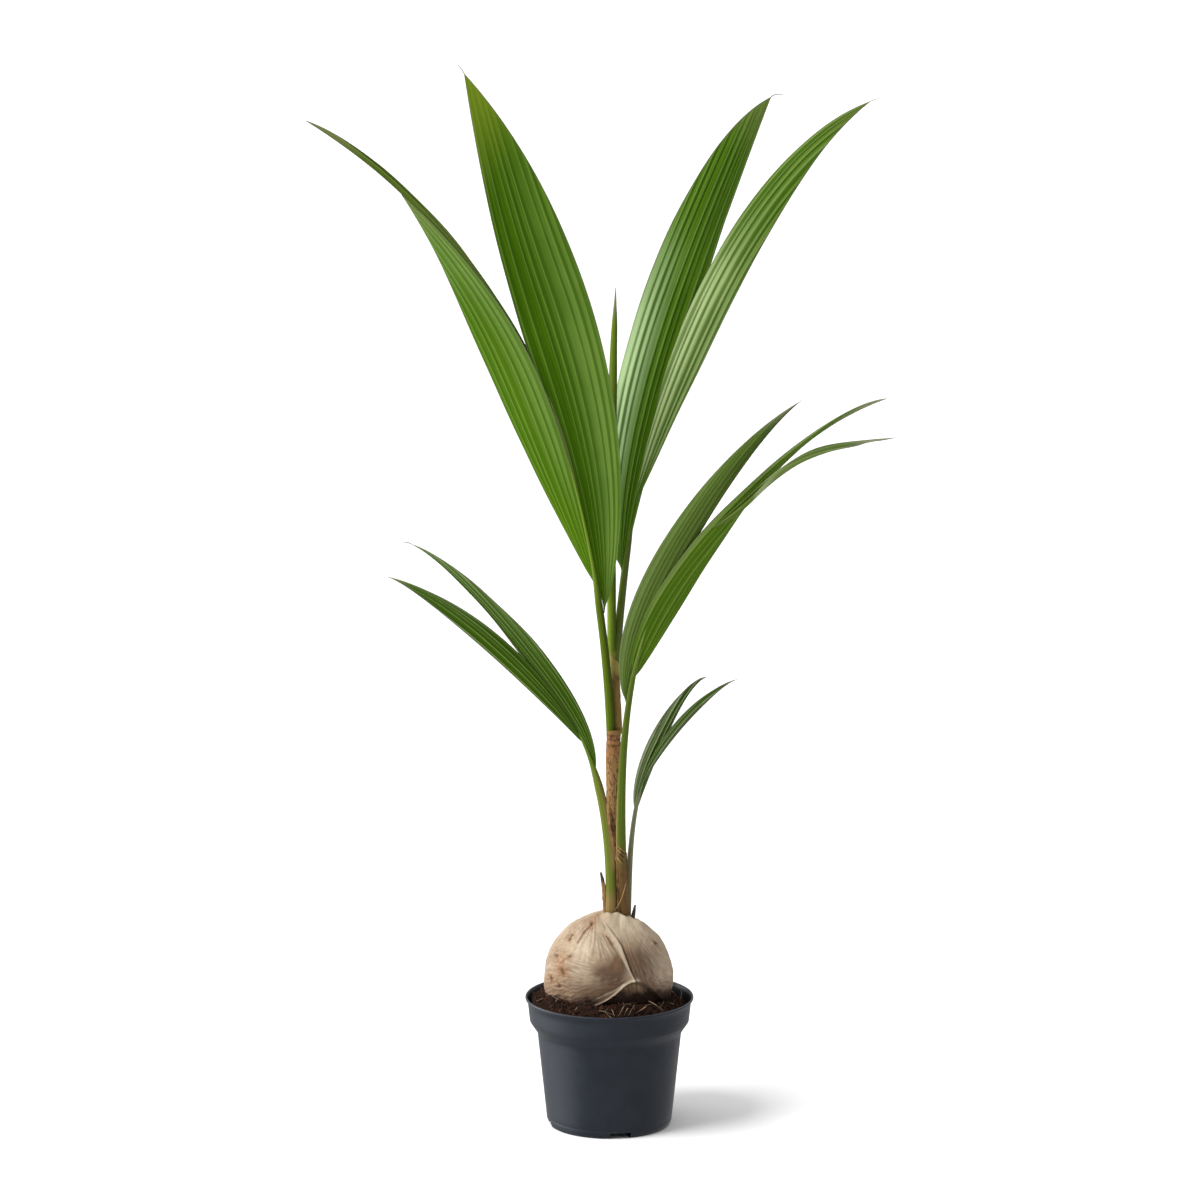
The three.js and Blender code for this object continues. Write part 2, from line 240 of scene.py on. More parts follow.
# Strands of fibre that lie over the sheaths, each as four control points
PALE_STRANDS = [
    [(-2.5, -5.5, 373), (-2.1, -11.7, 341.2), (4.2, -15.6, 326.2), (11.1, -18.5, 291.9)],
    [(-1, -5.5, 373), (-0.9, -11.7, 341.2), (6.2, -15.6, 326.2), (12, -18.5, 291.9)],
    [(18.6, -13.6, 286), (17.2, -17.8, 273), (12, -17, 260), (5.4, -14.2, 250)],
    [(7.8, -15.5, 328), (10.6, -25.6, 326), (15.2, -25.4, 322.5), (18.8, -15.8, 318.5)],
    [(7.6, -15, 324.5), (10.4, -25.2, 321.5), (14.8, -25, 317.5), (18.4, -15.4, 313)],
    [(7.8, -14.6, 320), (10.4, -24.8, 317.5), (14.6, -24.4, 313.5), (18.2, -14.8, 308.5)],
    [(8, -14.2, 315), (10.2, -24, 311.5), (14.2, -23.6, 307), (17.8, -14.2, 302)],
]
PALE_STRAND_RADIUS = 0.75
DARK_STRANDS = [
    [(0.5, -5.5, 373), (0.4, -11.7, 341.2), (8.1, -15.6, 326.2), (12.9, -18.5, 291.9)],
    [(1.9, -5.5, 373), (1.7, -11.7, 341.2), (10.1, -15.6, 326.2), (13.8, -18.5, 291.9)],
    [(7.7, -15.2, 326.2), (10.5, -25, 323.8), (15, -24.8, 320), (18.6, -15.4, 315.8)],
    [(7.7, -14.8, 322.2), (10.4, -24.6, 319.5), (14.7, -24.4, 315.5), (18.3, -15, 310.8)],
    [(7.9, -14.4, 317.5), (10.3, -24.2, 314.5), (14.4, -23.8, 310.2), (18, -14.4, 305.2)],
    [(18.8, -16, 318), (19.2, -14.6, 302), (19.8, -12.6, 286), (19.6, -11, 268)],
    [(8.6, -15.6, 312), (9.6, -17.4, 296), (10.6, -16, 282), (10.4, -13, 266)],
    [(8.6, -12.5, 322), (8.2, -14, 300), (8.6, -14, 275), (9, -13, 246)],
    [(7.4, -12, 318), (7.8, -13.4, 298), (8.8, -13.6, 272), (9.4, -12.6, 244)],
    [(9.6, -13, 325), (9.2, -15, 300), (9.8, -14.6, 276), (10.4, -13, 244)],
    [(11.5, -14.5, 312), (10.8, -17, 294), (9.8, -15, 272), (8.8, -13, 248)],
    [(8, -12.6, 306), (9.4, -14.4, 290), (10.2, -14.2, 268), (11.4, -12.8, 246)],
]
DARK_STRAND_RADIUS = 0.95

# The stalk of a frond carries on between its lobes as a thin rib, from its neck on.
RIBS = {
    "lower_left": dict(
        base=(1.4, -8.5, 240.2), tip=(-84, 62, 517), line=(2, 138, -42, 86), root=6.2, end=1.2, hold=1.6,
        neck=0.47, thin=0.5, bow=-22,
    ),
    "lower_right": dict(
        base=(20.2, 1, 238), tip=(66, 49, 441), line=(2.6, 72, 42, 66), root=4, end=1, hold=1.1,
        neck=0.64, thin=0.5,
    ),
    "middle_right": dict(
        base=(15.4, -6, 246), tip=(59, -66, 632), line=(-1.8, 90, 26, 129), root=6.3, end=1.2, hold=1.3,
        neck=0.76, thin=0.5,
    ),
    "upper_left": dict(
        base=(1.6, -3.5, 449), tip=(-65, -54, 836), line=(-2, 139, -18, 126), root=4.9, end=1.2, hold=2,
        neck=0.42, thin=0.42,
    ),
    "upper_right": dict(
        base=(6.7, 4, 526), tip=(65, 70, 862), line=(4.2, 96, 22, 90), root=4.8, end=1.2, hold=1.4,
        neck=0.45, thin=0.45,
    ),
}
RIB_NECK_START = 0.06
RIB_NECK_END = 0.1

# Each lobe has a left and a right margin; fold is how far each of the two recedes halfway along, and camber
# how far its middle comes forward. inner is the side of the rib, from which its pleats are counted, wide is
# the share of a pleat's wider facet, and slope is how steep the pleats are. A thread is where the wisp at a
# tip ends. pale adds up shares of the pale colour, a painted sheen and painted light, each growing from one
# share of the lobe's width to another and from one share of its length to another: (across, across, along,
# along, amount). ALL is all across.
ALL = (0, 0.001)
LOBES = {
    "lower_left_lower": dict(
        base=(-29, 24, 434.1), tip=(-252, 121, 606), left=(-46, 66, -83, 42), right=(-25, 106, -81, 86),
        fold=(-10, 0), camber=4, inner="right", pleats=5, wide=0.6, slope=0.36, look="low",
        pale=[(0.3, 0.9, 0.4, 0.85, 0.5)],
    ),
    "lower_left_upper": dict(
        base=(-15.4, 13.6, 406.2), tip=(-236, 133, 644), left=(-16, 39, -105, 48), right=(5, 92, -94, 61),
        fold=(0, -10), camber=4, inner="left", pleats=6, wide=0.6, slope=0.36, look="low",
        pale=[(0.2, 0.8, 0.3, 0.8, 0.6)],
    ),
    "lower_right_outer": dict(
        base=(32, 25, 373), tip=(145, 72, 498), left=(6, 49, 76, 56), right=(15, 29, 81, 34),
        fold=(0, -7), camber=3, inner="left", pleats=3, wide=0.55, slope=0.4, look="young",
        pale=[(0.6, 0.95, 0.9, 0.3, 0.7)],
    ),
    "lower_right_inner": dict(
        base=(29.4, 24, 354), tip=(109, 82, 498), left=(-15, 59, 98, 29), right=(20, 37, 82, 25),
        fold=(-7, 0), camber=3, inner="right", pleats=4, wide=0.55, slope=0.4, look="young",
        pale=[(0.34, 0.1, 0.9, 0.3, 0.7)],
    ),
    "middle_right_outer": dict(
        base=(25.5, -43, 521.3), tip=(299, -168, 862), left=(-12, 113, 80, 76), right=(34, 148, 67, 153),
        fold=(0, 14), camber=4, inner="left", pleats=6, wide=0.6, slope=0.26, look="rich",
        pale=[(0.22, 0.1, 0.1, 0.3, 0.45), (*ALL, 0.5, 0.9, 0.6)],
    ),
    "middle_right_tail": dict(
        base=(112, -90, 704), tip=(307, -200, 825), left=(43, 133, 81, 86), right=(68, 79, 78, 174),
        fold=(0, 0), camber=1, inner="left", pleats=2, wide=0.6, slope=0.35, look="whip",
        pale=[(*ALL, 0.27, 0.36, 0.9), (*ALL, 0.42, 0.54, -0.75)],
    ),
    "middle_right_inner": dict(
        base=(18.5, -38, 495.5), tip=(206, -142, 854), left=(-22, 110, 57, 122), right=(11, 116, 46, 76),
        fold=(12, 0), camber=6, inner="right", pleats=7, wide=0.55, slope=0.16, look="dull",
        pale=[(0.45, 0, 1, 0.2, 0.4)], thread=(220.1, -147, 861.3),
    ),
    "upper_left_outer": dict(
        base=(-12, -20, 618), tip=(-225, -117, 1077), left=(-29, 255, -31, 132), right=(-12, 171, -46, 224),
        fold=(24, 0), camber=4, inner="right", pleats=6, wide=0.62, slope=0.16, look="bright",
        pale=[(0.35, 1, 0.1, 0.4, 0.7), (*ALL, 0.6, 0.85, 0.6)],
    ),
    "upper_left_tail": dict(
        base=(-27, -24, 678), tip=(-326, -154, 1162), left=(-7, 185, -56, 192), right=(-5, 224, -67, 121),
        fold=(0, 0), camber=1, inner="left", pleats=2, wide=0.6, slope=0.3, look="tail",
        pale=[(0.3, 0.9, 0.9, 0.4, 0.4), (*ALL, 0.5, 0.2, 0.5)],
    ),
    "upper_left_inner": dict(
        base=(-6, -15, 593), tip=(-156, -145, 1211), left=(-11, 248, -8, 325), right=(17, 185, -41, 210),
        fold=(9, 16), camber=-9, inner="left", pleats=8, wide=0.54, slope=0.24, look="deep",
        pale=[(0.3, 0.8, 1, 0.35, 0.85), (0.3, 0.1, 0.8, 0.95, 0.6)], thread=(-163, -147, 1221),
    ),
    "upper_right_outer": dict(
        base=(22.8, 30, 694.7), tip=(292, 168, 1141), left=(4, 125, 72, 166), right=(26, 198, 55, 116),
        fold=(0, -14), camber=5, inner="left", pleats=6, wide=0.56, slope=0.3, look="soft",
        pale=[(1.2, 0.1, 0.7, 0.4, 0.98), (0.85, 0.95, 0.5, 0.3, 0.5), (*ALL, 0.14, 0.0, -0.8)],
        thread=(304, 170, 1145),
    ),
    "upper_right_inner": dict(
        base=(14.3, 18.5, 631.5), tip=(181, 174, 1145), left=(-26, 148, 67, 120), right=(13, 181, 22, 170),
        fold=(-14, 0), camber=9, inner="right", pleats=8, wide=0.54, slope=0.31, look="sheen",
        pale=[(0.56, 0.1, 0.7, 0.38, 0.95), (0.56, 0.1, 0.22, 0.1, -0.8)], thread=(195, 176, 1148),
    ),
}

# Colours of the fronds. pale is a painted sheen and painted light, and contrast is how dark a pleat's darker
# facet, the one turned away from the key light, is painted as shade; line is how bright the ribs on its
# crests are and glow how yellow the lobe's base is.
LEAF_LOOKS = {
    "bright": dict(
        deep=(60, 97, 0), mid=(78, 113, 0), pale=(106, 136, 62), rib=(130, 158, 72), tip=(112, 130, 70),
        shine=0.05, contrast=0.5, line=0.35, glow=0.2,
    ),
    "deep": dict(
        deep=(52, 89, 0), mid=(76, 113, 2), pale=(112, 142, 60), rib=(126, 156, 70), tip=(128, 150, 36),
        shine=0.04, contrast=0.6, line=0.4, glow=0.2,
    ),
    "sheen": dict(
        deep=(48, 84, 0), mid=(92, 128, 28), pale=(182, 208, 154), rib=(140, 170, 96), tip=(112, 128, 64),
        shine=0.04, contrast=0.75, line=0.4, glow=0.2,
    ),
    "soft": dict(
        deep=(58, 90, 8), mid=(92, 120, 36), pale=(170, 188, 134), rib=(148, 170, 104), tip=(98, 112, 52),
        shine=0.05, contrast=0.74, line=0.4, glow=0.2,
    ),
    "rich": dict(
        deep=(54, 88, 0), mid=(84, 114, 18), pale=(118, 136, 76), rib=(124, 148, 72), tip=(128, 128, 110),
        shine=0.05, contrast=0.6, line=0.4, glow=0.1,
    ),
    "tail": dict(
        deep=(68, 92, 14), mid=(108, 130, 46), pale=(136, 146, 96), rib=(132, 150, 84), tip=(128, 134, 90),
        shine=0.06, contrast=0.7, line=0.5, glow=0,
    ),
    "whip": dict(
        deep=(60, 80, 20), mid=(92, 110, 46), pale=(150, 160, 124), rib=(112, 128, 72), tip=(128, 128, 112),
        shine=0.06, contrast=0.6, line=0.35, glow=0,
    ),
    "dull": dict(
        deep=(60, 82, 20), mid=(80, 100, 38), pale=(102, 120, 70), rib=(104, 124, 66), tip=(114, 114, 92),
        shine=0.08, contrast=0.5, line=0.35, glow=0.1,
    ),
    "low": dict(
        deep=(40, 66, 2), mid=(66, 92, 14), pale=(114, 132, 84), rib=(122, 146, 84), tip=(130, 136, 100),
        shine=0.05, contrast=0.7, line=0.85, glow=0.1,
    ),
    "young": dict(
        deep=(44, 68, 6), mid=(78, 106, 30), pale=(158, 168, 136), rib=(172, 184, 146), tip=(126, 120, 108),
        shine=0.06, contrast=0.85, line=0.8, glow=0.1,
    ),
}
LEAF_BASE = (108, 148, 20)
LEAF_MARGIN = (104, 100, 88)
THREAD_COLOUR = (140, 132, 120)

# Colours of the stalks. side is the colour of the right side, partly its own tint and partly painted shade,
# as the light comes from the left; rib is the part between the lobes, and foot the share of the length that
# has dried. groove is the angle of a channel. dry is the angle of a dry edge, its width, and where along the
# stalk it starts and ends.
STALK_LOOKS = {
    "lower_left": dict(
        dark=(80, 93, 20), light=(110, 118, 47), side=(102, 104, 46), rib=(84, 110, 34), foot=0.1,
        dried=((104, 84, 46), (152, 128, 80)), groove=1.4, dry=(-0.75, 0.5, 0.18, 0.46),
    ),
    "lower_right": dict(
        dark=(104, 108, 78), light=(136, 140, 110), side=(128, 128, 104), rib=(140, 152, 108), foot=0.4,
        dried=((98, 92, 60), (130, 124, 92)), groove=1.6, dry=(3.6, 0.22, 0, 0.3),
    ),
    "middle_right": dict(
        dark=(60, 80, 8), light=(90, 106, 30), side=(84, 98, 40), rib=(108, 130, 58), foot=0.3,
        dried=((74, 50, 26), (122, 92, 56)), groove=1.6, dry=(3.4, 0.22, 0, 0.5),
    ),
    "upper_left": dict(
        dark=(64, 84, 2), light=(94, 112, 22), side=(52, 70, 4), rib=(112, 138, 44), foot=0.02,
        dried=((88, 70, 34), (124, 104, 60)), groove=-0.5, dry=(0, 0.22, 0, 0),
    ),
    "upper_right": dict(
        dark=(76, 96, 20), light=(98, 114, 42), side=(84, 84, 60), rib=(100, 124, 46), foot=0.03,
        dried=((100, 96, 34), (130, 124, 54)), groove=1.6, dry=(0, 0.22, 0, 0),
    ),
}
SPEAR_LOOK = dict(
    dark=(88, 112, 16), light=(120, 140, 46), side=(48, 70, 4), rib=(142, 134, 124), foot=0.04,
    dried=((112, 116, 40), (148, 142, 70)),
)
DRY_EDGE = (182, 150, 98)

# Looks of the sheaths: how spotted each is, its ridges and their depth, and how far its collar comes forward
SHEATH_LOOKS = {
    "lower": dict(
        dark=(116, 86, 50), light=(166, 132, 86), lip=(118, 94, 50), spotted=0.8,
        ridges=14, depth=0.03, collar=0.75,
    ),
    "upper": dict(
        dark=(104, 84, 42), light=(142, 116, 64), lip=(142, 128, 66), spotted=0.12,
        ridges=8, depth=0.03, collar=0,
    ),
    "scale_left": dict(
        dark=(120, 88, 56), light=(178, 144, 98), lip=(74, 66, 62), spotted=0.5,
        ridges=5, depth=0.1, collar=0,
    ),
    "scale_right": dict(
        dark=(52, 42, 34), light=(84, 70, 58), lip=(96, 90, 86), spotted=0.5,
        ridges=5, depth=0.1, collar=0,
    ),
}
SHEATH_SPOT = (74, 48, 28)
SHEATH_RED = (142, 96, 60)
SHEATH_OLIVE = (112, 78, 46)
SHEATH_OLIVE_DARK = (72, 46, 26)
# Painted shade in the seam at the front, in the rings under the collar's lip and below the upper sheath's
# slanted top
SHEATH_GAP = (40, 28, 18)
UPPER_SHEATH_SLANT = 5
SHEATH_SEED = 40

rng = np.random.default_rng(11)


def linear(colour):
    """A colour of 0 to 255 a channel as linear light with alpha."""
    share = np.array(colour) / 255
    light = np.where(share <= 0.04045, share / 12.92, ((share + 0.055) / 1.055) ** 2.4)
    return (*light.tolist(), 1.0)


def smooth(value, low, high):
    """0 at low, 1 at high, with a soft start and end."""
    share = np.clip((value - low) / (high - low), 0, 1)
    return share * share * (3 - 2 * share)


def bump(distance, width):
    """1 at no distance, fading over a width."""
    return np.exp(-((distance / width) ** 2))


def unit(vectors):
    return vectors / np.linalg.norm(vectors, axis=-1, keepdims=True)


def ripple(points, wavelength, seed, waves=28):
    """Even noise from -1 to 1 or so over points, as a sum of waves in all directions."""
    draw = np.random.default_rng(seed)
    directions = unit(draw.normal(size=(waves, 3)))
    reach = 2 * math.pi / wavelength * draw.uniform(0.6, 1.5, waves)
    phases = draw.uniform(0, 2 * math.pi, waves)
    return np.cos(points @ (directions * reach[:, None]).T + phases).sum(-1) / math.sqrt(waves)


def all_round(columns):
    return np.linspace(0, 2 * math.pi, columns, endpoint=False)


def apart(angle, other):
    """The difference between angles, from -pi to pi."""
    return (angle - other + math.pi) % (2 * math.pi) - math.pi


# Curves


def heading(degrees):
    """Unit vector in the front plane at an angle from straight up, positive to the right."""
    angle = math.radians(degrees)
    return np.array([math.sin(angle), 0, math.cos(angle)])


def curve(base, tip, line, bow=0):
    """The four control points of a line from base to tip, bowed to the front where bow is negative."""
    leave, leave_reach, arrive, arrive_reach = line
    base = np.array(base, float)
    tip = np.array(tip, float)
    first = base + leave_reach * heading(leave)
    second = tip - arrive_reach * heading(arrive)
    first[1] = base[1] + FIRST_DEPTH_SHARE * (tip[1] - base[1]) + bow
    first[2] -= math.tan(math.radians(CAMERA_PITCH)) * bow
    second[1] = base[1] + SECOND_DEPTH_SHARE * (tip[1] - base[1])
    return base, first, second, tip


def points_on(control, t):
    a, b, c, d = control
    t = t[:, None]
    return (1 - t) ** 3 * a + 3 * (1 - t) ** 2 * t * b + 3 * (1 - t) * t**2 * c + t**3 * d


def tangents_on(control, t):
    a, b, c, d = control
    t = t[:, None]
    return unit((1 - t) ** 2 * (b - a) + 2 * (1 - t) * t * (c - b) + t**2 * (d - c))


def to_line(points, line):
    """Distance from each point to a line of points, and the share of the line at the nearest place."""
    line = np.array(line, float)
    best = np.full(len(points), np.inf)
    share = np.zeros(len(points))
    count = len(line) - 1
    for i in range(count):
        step = line[i + 1] - line[i]
        place = np.clip((points - line[i]) @ step / (step @ step), 0, 1)
        distance = np.linalg.norm(points - line[i] - place[:, None] * step, axis=1)
        nearer = distance < best
        best = np.where(nearer, distance, best)
        share = np.where(nearer, (i + place) / count, share)
    return best, share


def across_line(line, value, given, wanted):
    """The wanted coordinate of a line at a value of its given coordinate."""
    ordered = np.array(sorted(line, key=lambda point: point[given]))
    return np.interp(value, ordered[:, given], ordered[:, wanted])


# Meshes


def shell_faces(rows, columns):
    """Quads round a stack of closed sections, and strips of quads that close its two ends."""
    row = np.arange(rows - 1)[:, None] * columns
    here = np.arange(columns)[None, :]
    after = (here + 1) % columns
    corners = [row + here, row + after, row + columns + after, row + columns + here]
    sides = np.stack(corners, -1).reshape(-1, 4)
    near = np.arange(columns // 2 - 1)
    far = columns - 1 - near
    last = (rows - 1) * columns
    start = np.stack([near, far, far - 1, near + 1], -1)
    end = last + np.stack([near, near + 1, far - 1, far], -1)
    return np.concatenate([sides, start, end])


def shell_map(rows, columns, faces):
    """A flat map of the sections unrolled, as one place for each corner of each face."""
    sides = (rows - 1) * columns
    across = np.tile(np.arange(columns), rows - 1)
    along = np.repeat(np.arange(rows - 1), columns)
    places = np.zeros((faces, 4, 2))
    places[:sides, :, 0] = np.stack([across, across + 1, across + 1, across], -1) / columns
    places[:sides, :, 1] = np.stack([along, along, along + 1, along + 1], -1) / (rows - 1)
    return places.reshape(-1, 2)


def new_mesh(name, points, faces):
    mesh = bpy.data.meshes.new(name)
    mesh.from_pydata((points.reshape(-1, 3) * MM).tolist(), [], faces.tolist())
    return mesh


def placed(name, data):
    """A new object in the scene."""
    thing = bpy.data.objects.new(name, data)
    bpy.context.scene.collection.objects.link(thing)
    return thing


def add_piece(name, mesh, paint, nodes=(), crisp=None):
    """Adds a mesh to the plant; edges sharper than crisp, in degrees, stay hard."""
    mesh.materials.append(paint)
    mesh.shade_smooth()
    if crisp:
        mesh.set_sharp_from_angle(angle=math.radians(crisp))
    piece = placed(name, mesh)
    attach(piece, "root")
    if nodes:
        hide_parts(*nodes)


def shell(name, sections, paint, nodes, attributes=None, crisp=None):
    """A closed piece from sections of points, rows by columns, each section a closed loop."""
    rows, columns = sections.shape[:2]
    faces = shell_faces(rows, columns)
    mesh = new_mesh(name, sections, faces)
    flat = mesh.uv_layers.new(name="OFBake")
    flat.data.foreach_set("uv", shell_map(rows, columns, len(faces)).ravel())
    for key, values in (attributes or {}).items():
        layer = mesh.attributes.new(key, "FLOAT", "POINT")
        layer.data.foreach_set("value", np.broadcast_to(values, (rows, columns)).astype(np.float32).ravel())
    add_piece(name, mesh, paint, nodes, crisp)


def many(name, points, faces, paint):
    """One piece from many small closed bodies with the same faces: bodies by points by 3."""
    count, each = points.shape[:2]
    joined = (faces[None] + each * np.arange(count)[:, None, None]).reshape(-1, faces.shape[1])
    add_piece(name, new_mesh(name, points, joined), paint)


def turned(profile, angle):
    """Radius, height and angle of a body of revolution about +Z, with columns at the angles."""
    profile = np.array(profile, float)
    radius = np.repeat(profile[:, :1], len(angle), 1)
    height = np.repeat(profile[:, 1:], len(angle), 1)
    return radius, height, np.repeat(angle[None], len(profile), 0)


def from_polar(radius, angle, height):
    return np.stack([radius * np.cos(angle), radius * np.sin(angle), height], -1)


def filled(points, step):
    """A profile of points with more points between them, no further apart than step."""
    points = np.array(points, float)
    rows = [points[:1]]
    for a, b in zip(points, points[1:]):
        count = max(1, math.ceil(np.linalg.norm(b - a) / step))
        rows.append(a + (b - a) * np.linspace(0, 1, count + 1)[1:, None])
    return np.concatenate(rows)


# Materials


class Nodes:
    """Short calls for the nodes of a material or a world."""

    def __init__(self, owner):
        owner.use_nodes = True
        self.tree = owner.node_tree

    def node(self, kind, inputs, **settings):
        node = self.tree.nodes.new(kind)
        for key, value in settings.items():
            setattr(node, key, value)
        for key, value in inputs.items():
            self.feed(node.inputs[key], value)
        return node

    def feed(self, socket, value):
        if isinstance(value, bpy.types.NodeSocket):
            self.tree.links.new(value, socket)
        else:
            socket.default_value = value

    def maths(self, operation, a, b=0.0):
        return self.node("ShaderNodeMath", {0: a, 1: b}, operation=operation).outputs[0]

    def plus(self, a, b):
        return self.maths("ADD", a, b)

    def times(self, a, b):
        return self.maths("MULTIPLY", a, b)

    def between(self, value, low, high, start=0.0, end=1.0, ease="SMOOTHSTEP"):
        """From start to end while a value goes from low to high."""
        inputs = {"Value": value, "From Min": low, "From Max": high, "To Min": start, "To Max": end}
        return self.node("ShaderNodeMapRange", inputs, interpolation_type=ease).outputs["Result"]


class Paint(Nodes):
    """A material with one shader."""

    def __init__(self, name, shine=0.5):
        self.material = bpy.data.materials.new(name)
        super().__init__(self.material)
        self.shader = self.tree.nodes["Principled BSDF"]
        self.set("Specular IOR Level", shine)

    def set(self, name, value):
        self.feed(self.shader.inputs[name], value)

    def attribute(self, name):
        return self.node("ShaderNodeAttribute", {}, attribute_name=name).outputs["Fac"]

    def position(self):
        return self.node("ShaderNodeTexCoord", {}).outputs["Object"]

    def vector(self, x, y, z=0.0):
        return self.node("ShaderNodeCombineXYZ", {"X": x, "Y": y, "Z": z}).outputs["Vector"]

    def noise(self, vector, scale, detail=3.0, roughness=0.55):
        inputs = {"Vector": vector, "Scale": scale, "Detail": detail, "Roughness": roughness}
        return self.node("ShaderNodeTexNoise", inputs).outputs["Fac"]

    def grain(self, across, across_scale, along, along_scale, detail=4.0, roughness=0.6):
        """Noise in streaks along a limb or a leaf."""
        place = self.vector(self.times(across, across_scale), self.times(along, along_scale))
        return self.noise(place, 1.0, detail, roughness)

    def mixed(self, share, first, second):
        return self.node("ShaderNodeMix", {0: share, 2: first, 3: second}, data_type="FLOAT").outputs[0]

    def blend(self, share, *colours):
        """From one colour to another, each as 0 to 255 a channel or as a socket."""
        first, second = [linear(colour) if isinstance(colour, tuple) else colour for colour in colours]
        return self.node("ShaderNodeMix", {0: share, 6: first, 7: second}, data_type="RGBA").outputs[2]

    def over(self, colour, other, value, low, high, amount=1.0):
        """Another colour over a colour, by an amount that grows while a value goes from low to high."""
        return self.blend(self.between(value, low, high, 0.0, amount), colour, other)

    def marked(self, colour, **others):
        """Other colours over a colour, each by the share in the mesh's attribute of that name."""
        for name, other in others.items():
            colour = self.blend(self.attribute(name), colour, other)
        return colour

    def finish(self, colour, roughness, height, depth):
        relief = self.node("ShaderNodeBump", {"Height": height, "Strength": 1.0, "Distance": depth * MM})
        self.set("Base Color", colour)
        self.set("Roughness", roughness)
        self.set("Normal", relief.outputs["Normal"])
        return self.material


def leaf_paint(name, deep, mid, pale, rib, tip, shine, contrast, line, glow):
    """Pleats with a darker facet and a lighter one, painted shade and painted light by which way each faces
    the key light, a painted sheen in the pale colour, and a thin bright rib on each crest.
    """
    paint = Paint(name, shine)
    pleat = paint.attribute("pleat")
    along = paint.attribute("along")
    streak = paint.grain(pleat, 7.0, along, 3.0)
    patch = paint.noise(paint.position(), 9.0, 2.0)
    green = paint.over(deep, mid, streak, 0.3, 0.7)
    green = paint.over(green, LEAF_BASE, along, 0.26, 0.02, glow)
    # painted sheen and painted light: the pale colour where the lobe's pale shares say
    sunny = paint.marked(green, pale=pale)
    # painted light and shade: the facet turned to the key light gets the lit colour, the other the deep one
    uneven = paint.plus(paint.attribute("facing"), paint.between(patch, 0.3, 0.7, -0.3, 0.3))
    colour = paint.blend(paint.between(uneven, -0.6, 0.5, 1 - contrast, 1.0), deep, sunny)
    colour = paint.over(colour, rib, paint.attribute("crest"), 0.5, 1.0, line)
    colour = paint.over(colour, tip, along, 0.82, 1.0, 0.75)
    at_edge = paint.between(paint.attribute("edge"), 1.6, 0.5)
    dry = paint.times(at_edge, paint.between(along, 0.2, 0.6, 0.15, 0.6))
    colour = paint.blend(dry, colour, LEAF_MARGIN)
    colour = paint.over(colour, THREAD_COLOUR, along, 1.0, 1.3)
    veins = paint.maths("SINE", paint.times(pleat, 44.0))
    height = paint.plus(paint.times(veins, 0.5), streak)
    return paint.finish(colour, paint.between(streak, 0.2, 0.8, 0.4, 0.56), height, 0.1)


def stalk_paint(name, dark, light, side, rib, foot, dried):
    """A green stalk: its right side, partly painted shade, its rib, its dry edge and its dried foot have
    other colours.
    """
    paint = Paint(name, 0.08)
    along = paint.attribute("along")
    streak = paint.grain(paint.attribute("turn"), 22.0, along, 4.0)
    colour = paint.over(dark, light, streak, 0.3, 0.7)
    # painted shade: the right side, away from the key light on the left, takes the side colour
    colour = paint.over(colour, side, paint.attribute("right"), -0.1, 0.9, 0.85)
    colour = paint.marked(colour, rib=rib, dry=DRY_EDGE)
    low = paint.over(*dried, streak, 0.35, 0.65)
    ragged = paint.plus(along, paint.between(streak, 0.3, 0.7, -0.1 * foot, 0.1 * foot))
    colour = paint.over(colour, low, ragged, foot, 0.5 * foot, 0.95)
    return paint.finish(colour, paint.between(streak, 0.2, 0.8, 0.4, 0.6), streak, 0.15)


def sheath_paint(name, dark, light, lip, spotted):
    """A dry sheath: fibres along it, dark spots, an olive side, a lip of another colour and painted shade in
    its gaps.
    """
    paint = Paint(name, 0.12)
    streak = paint.grain(paint.attribute("turn"), 34.0, paint.attribute("along"), 9.0, 5.0, 0.65)
    tall = paint.node("ShaderNodeMapping", {"Vector": paint.position(), "Scale": (1.0, 1.0, 0.55)})
    spots = paint.noise(tall.outputs["Vector"], 380.0, 2.0, 0.5)
    colour = paint.over(dark, light, streak, 0.3, 0.7)
    colour = paint.marked(colour, red=SHEATH_RED)
    colour = paint.over(colour, SHEATH_SPOT, spots, 0.5, 0.66, spotted)
    olive = paint.over(SHEATH_OLIVE_DARK, SHEATH_OLIVE, streak, 0.35, 0.65)
    # painted shade in the seam and under the lips
    colour = paint.marked(colour, olive=olive, lip=lip, gap=SHEATH_GAP)
    height = paint.plus(streak, paint.times(spots, 0.7))
    return paint.finish(colour, paint.between(streak, 0.2, 0.8, 0.65, 0.9), height, 0.5)


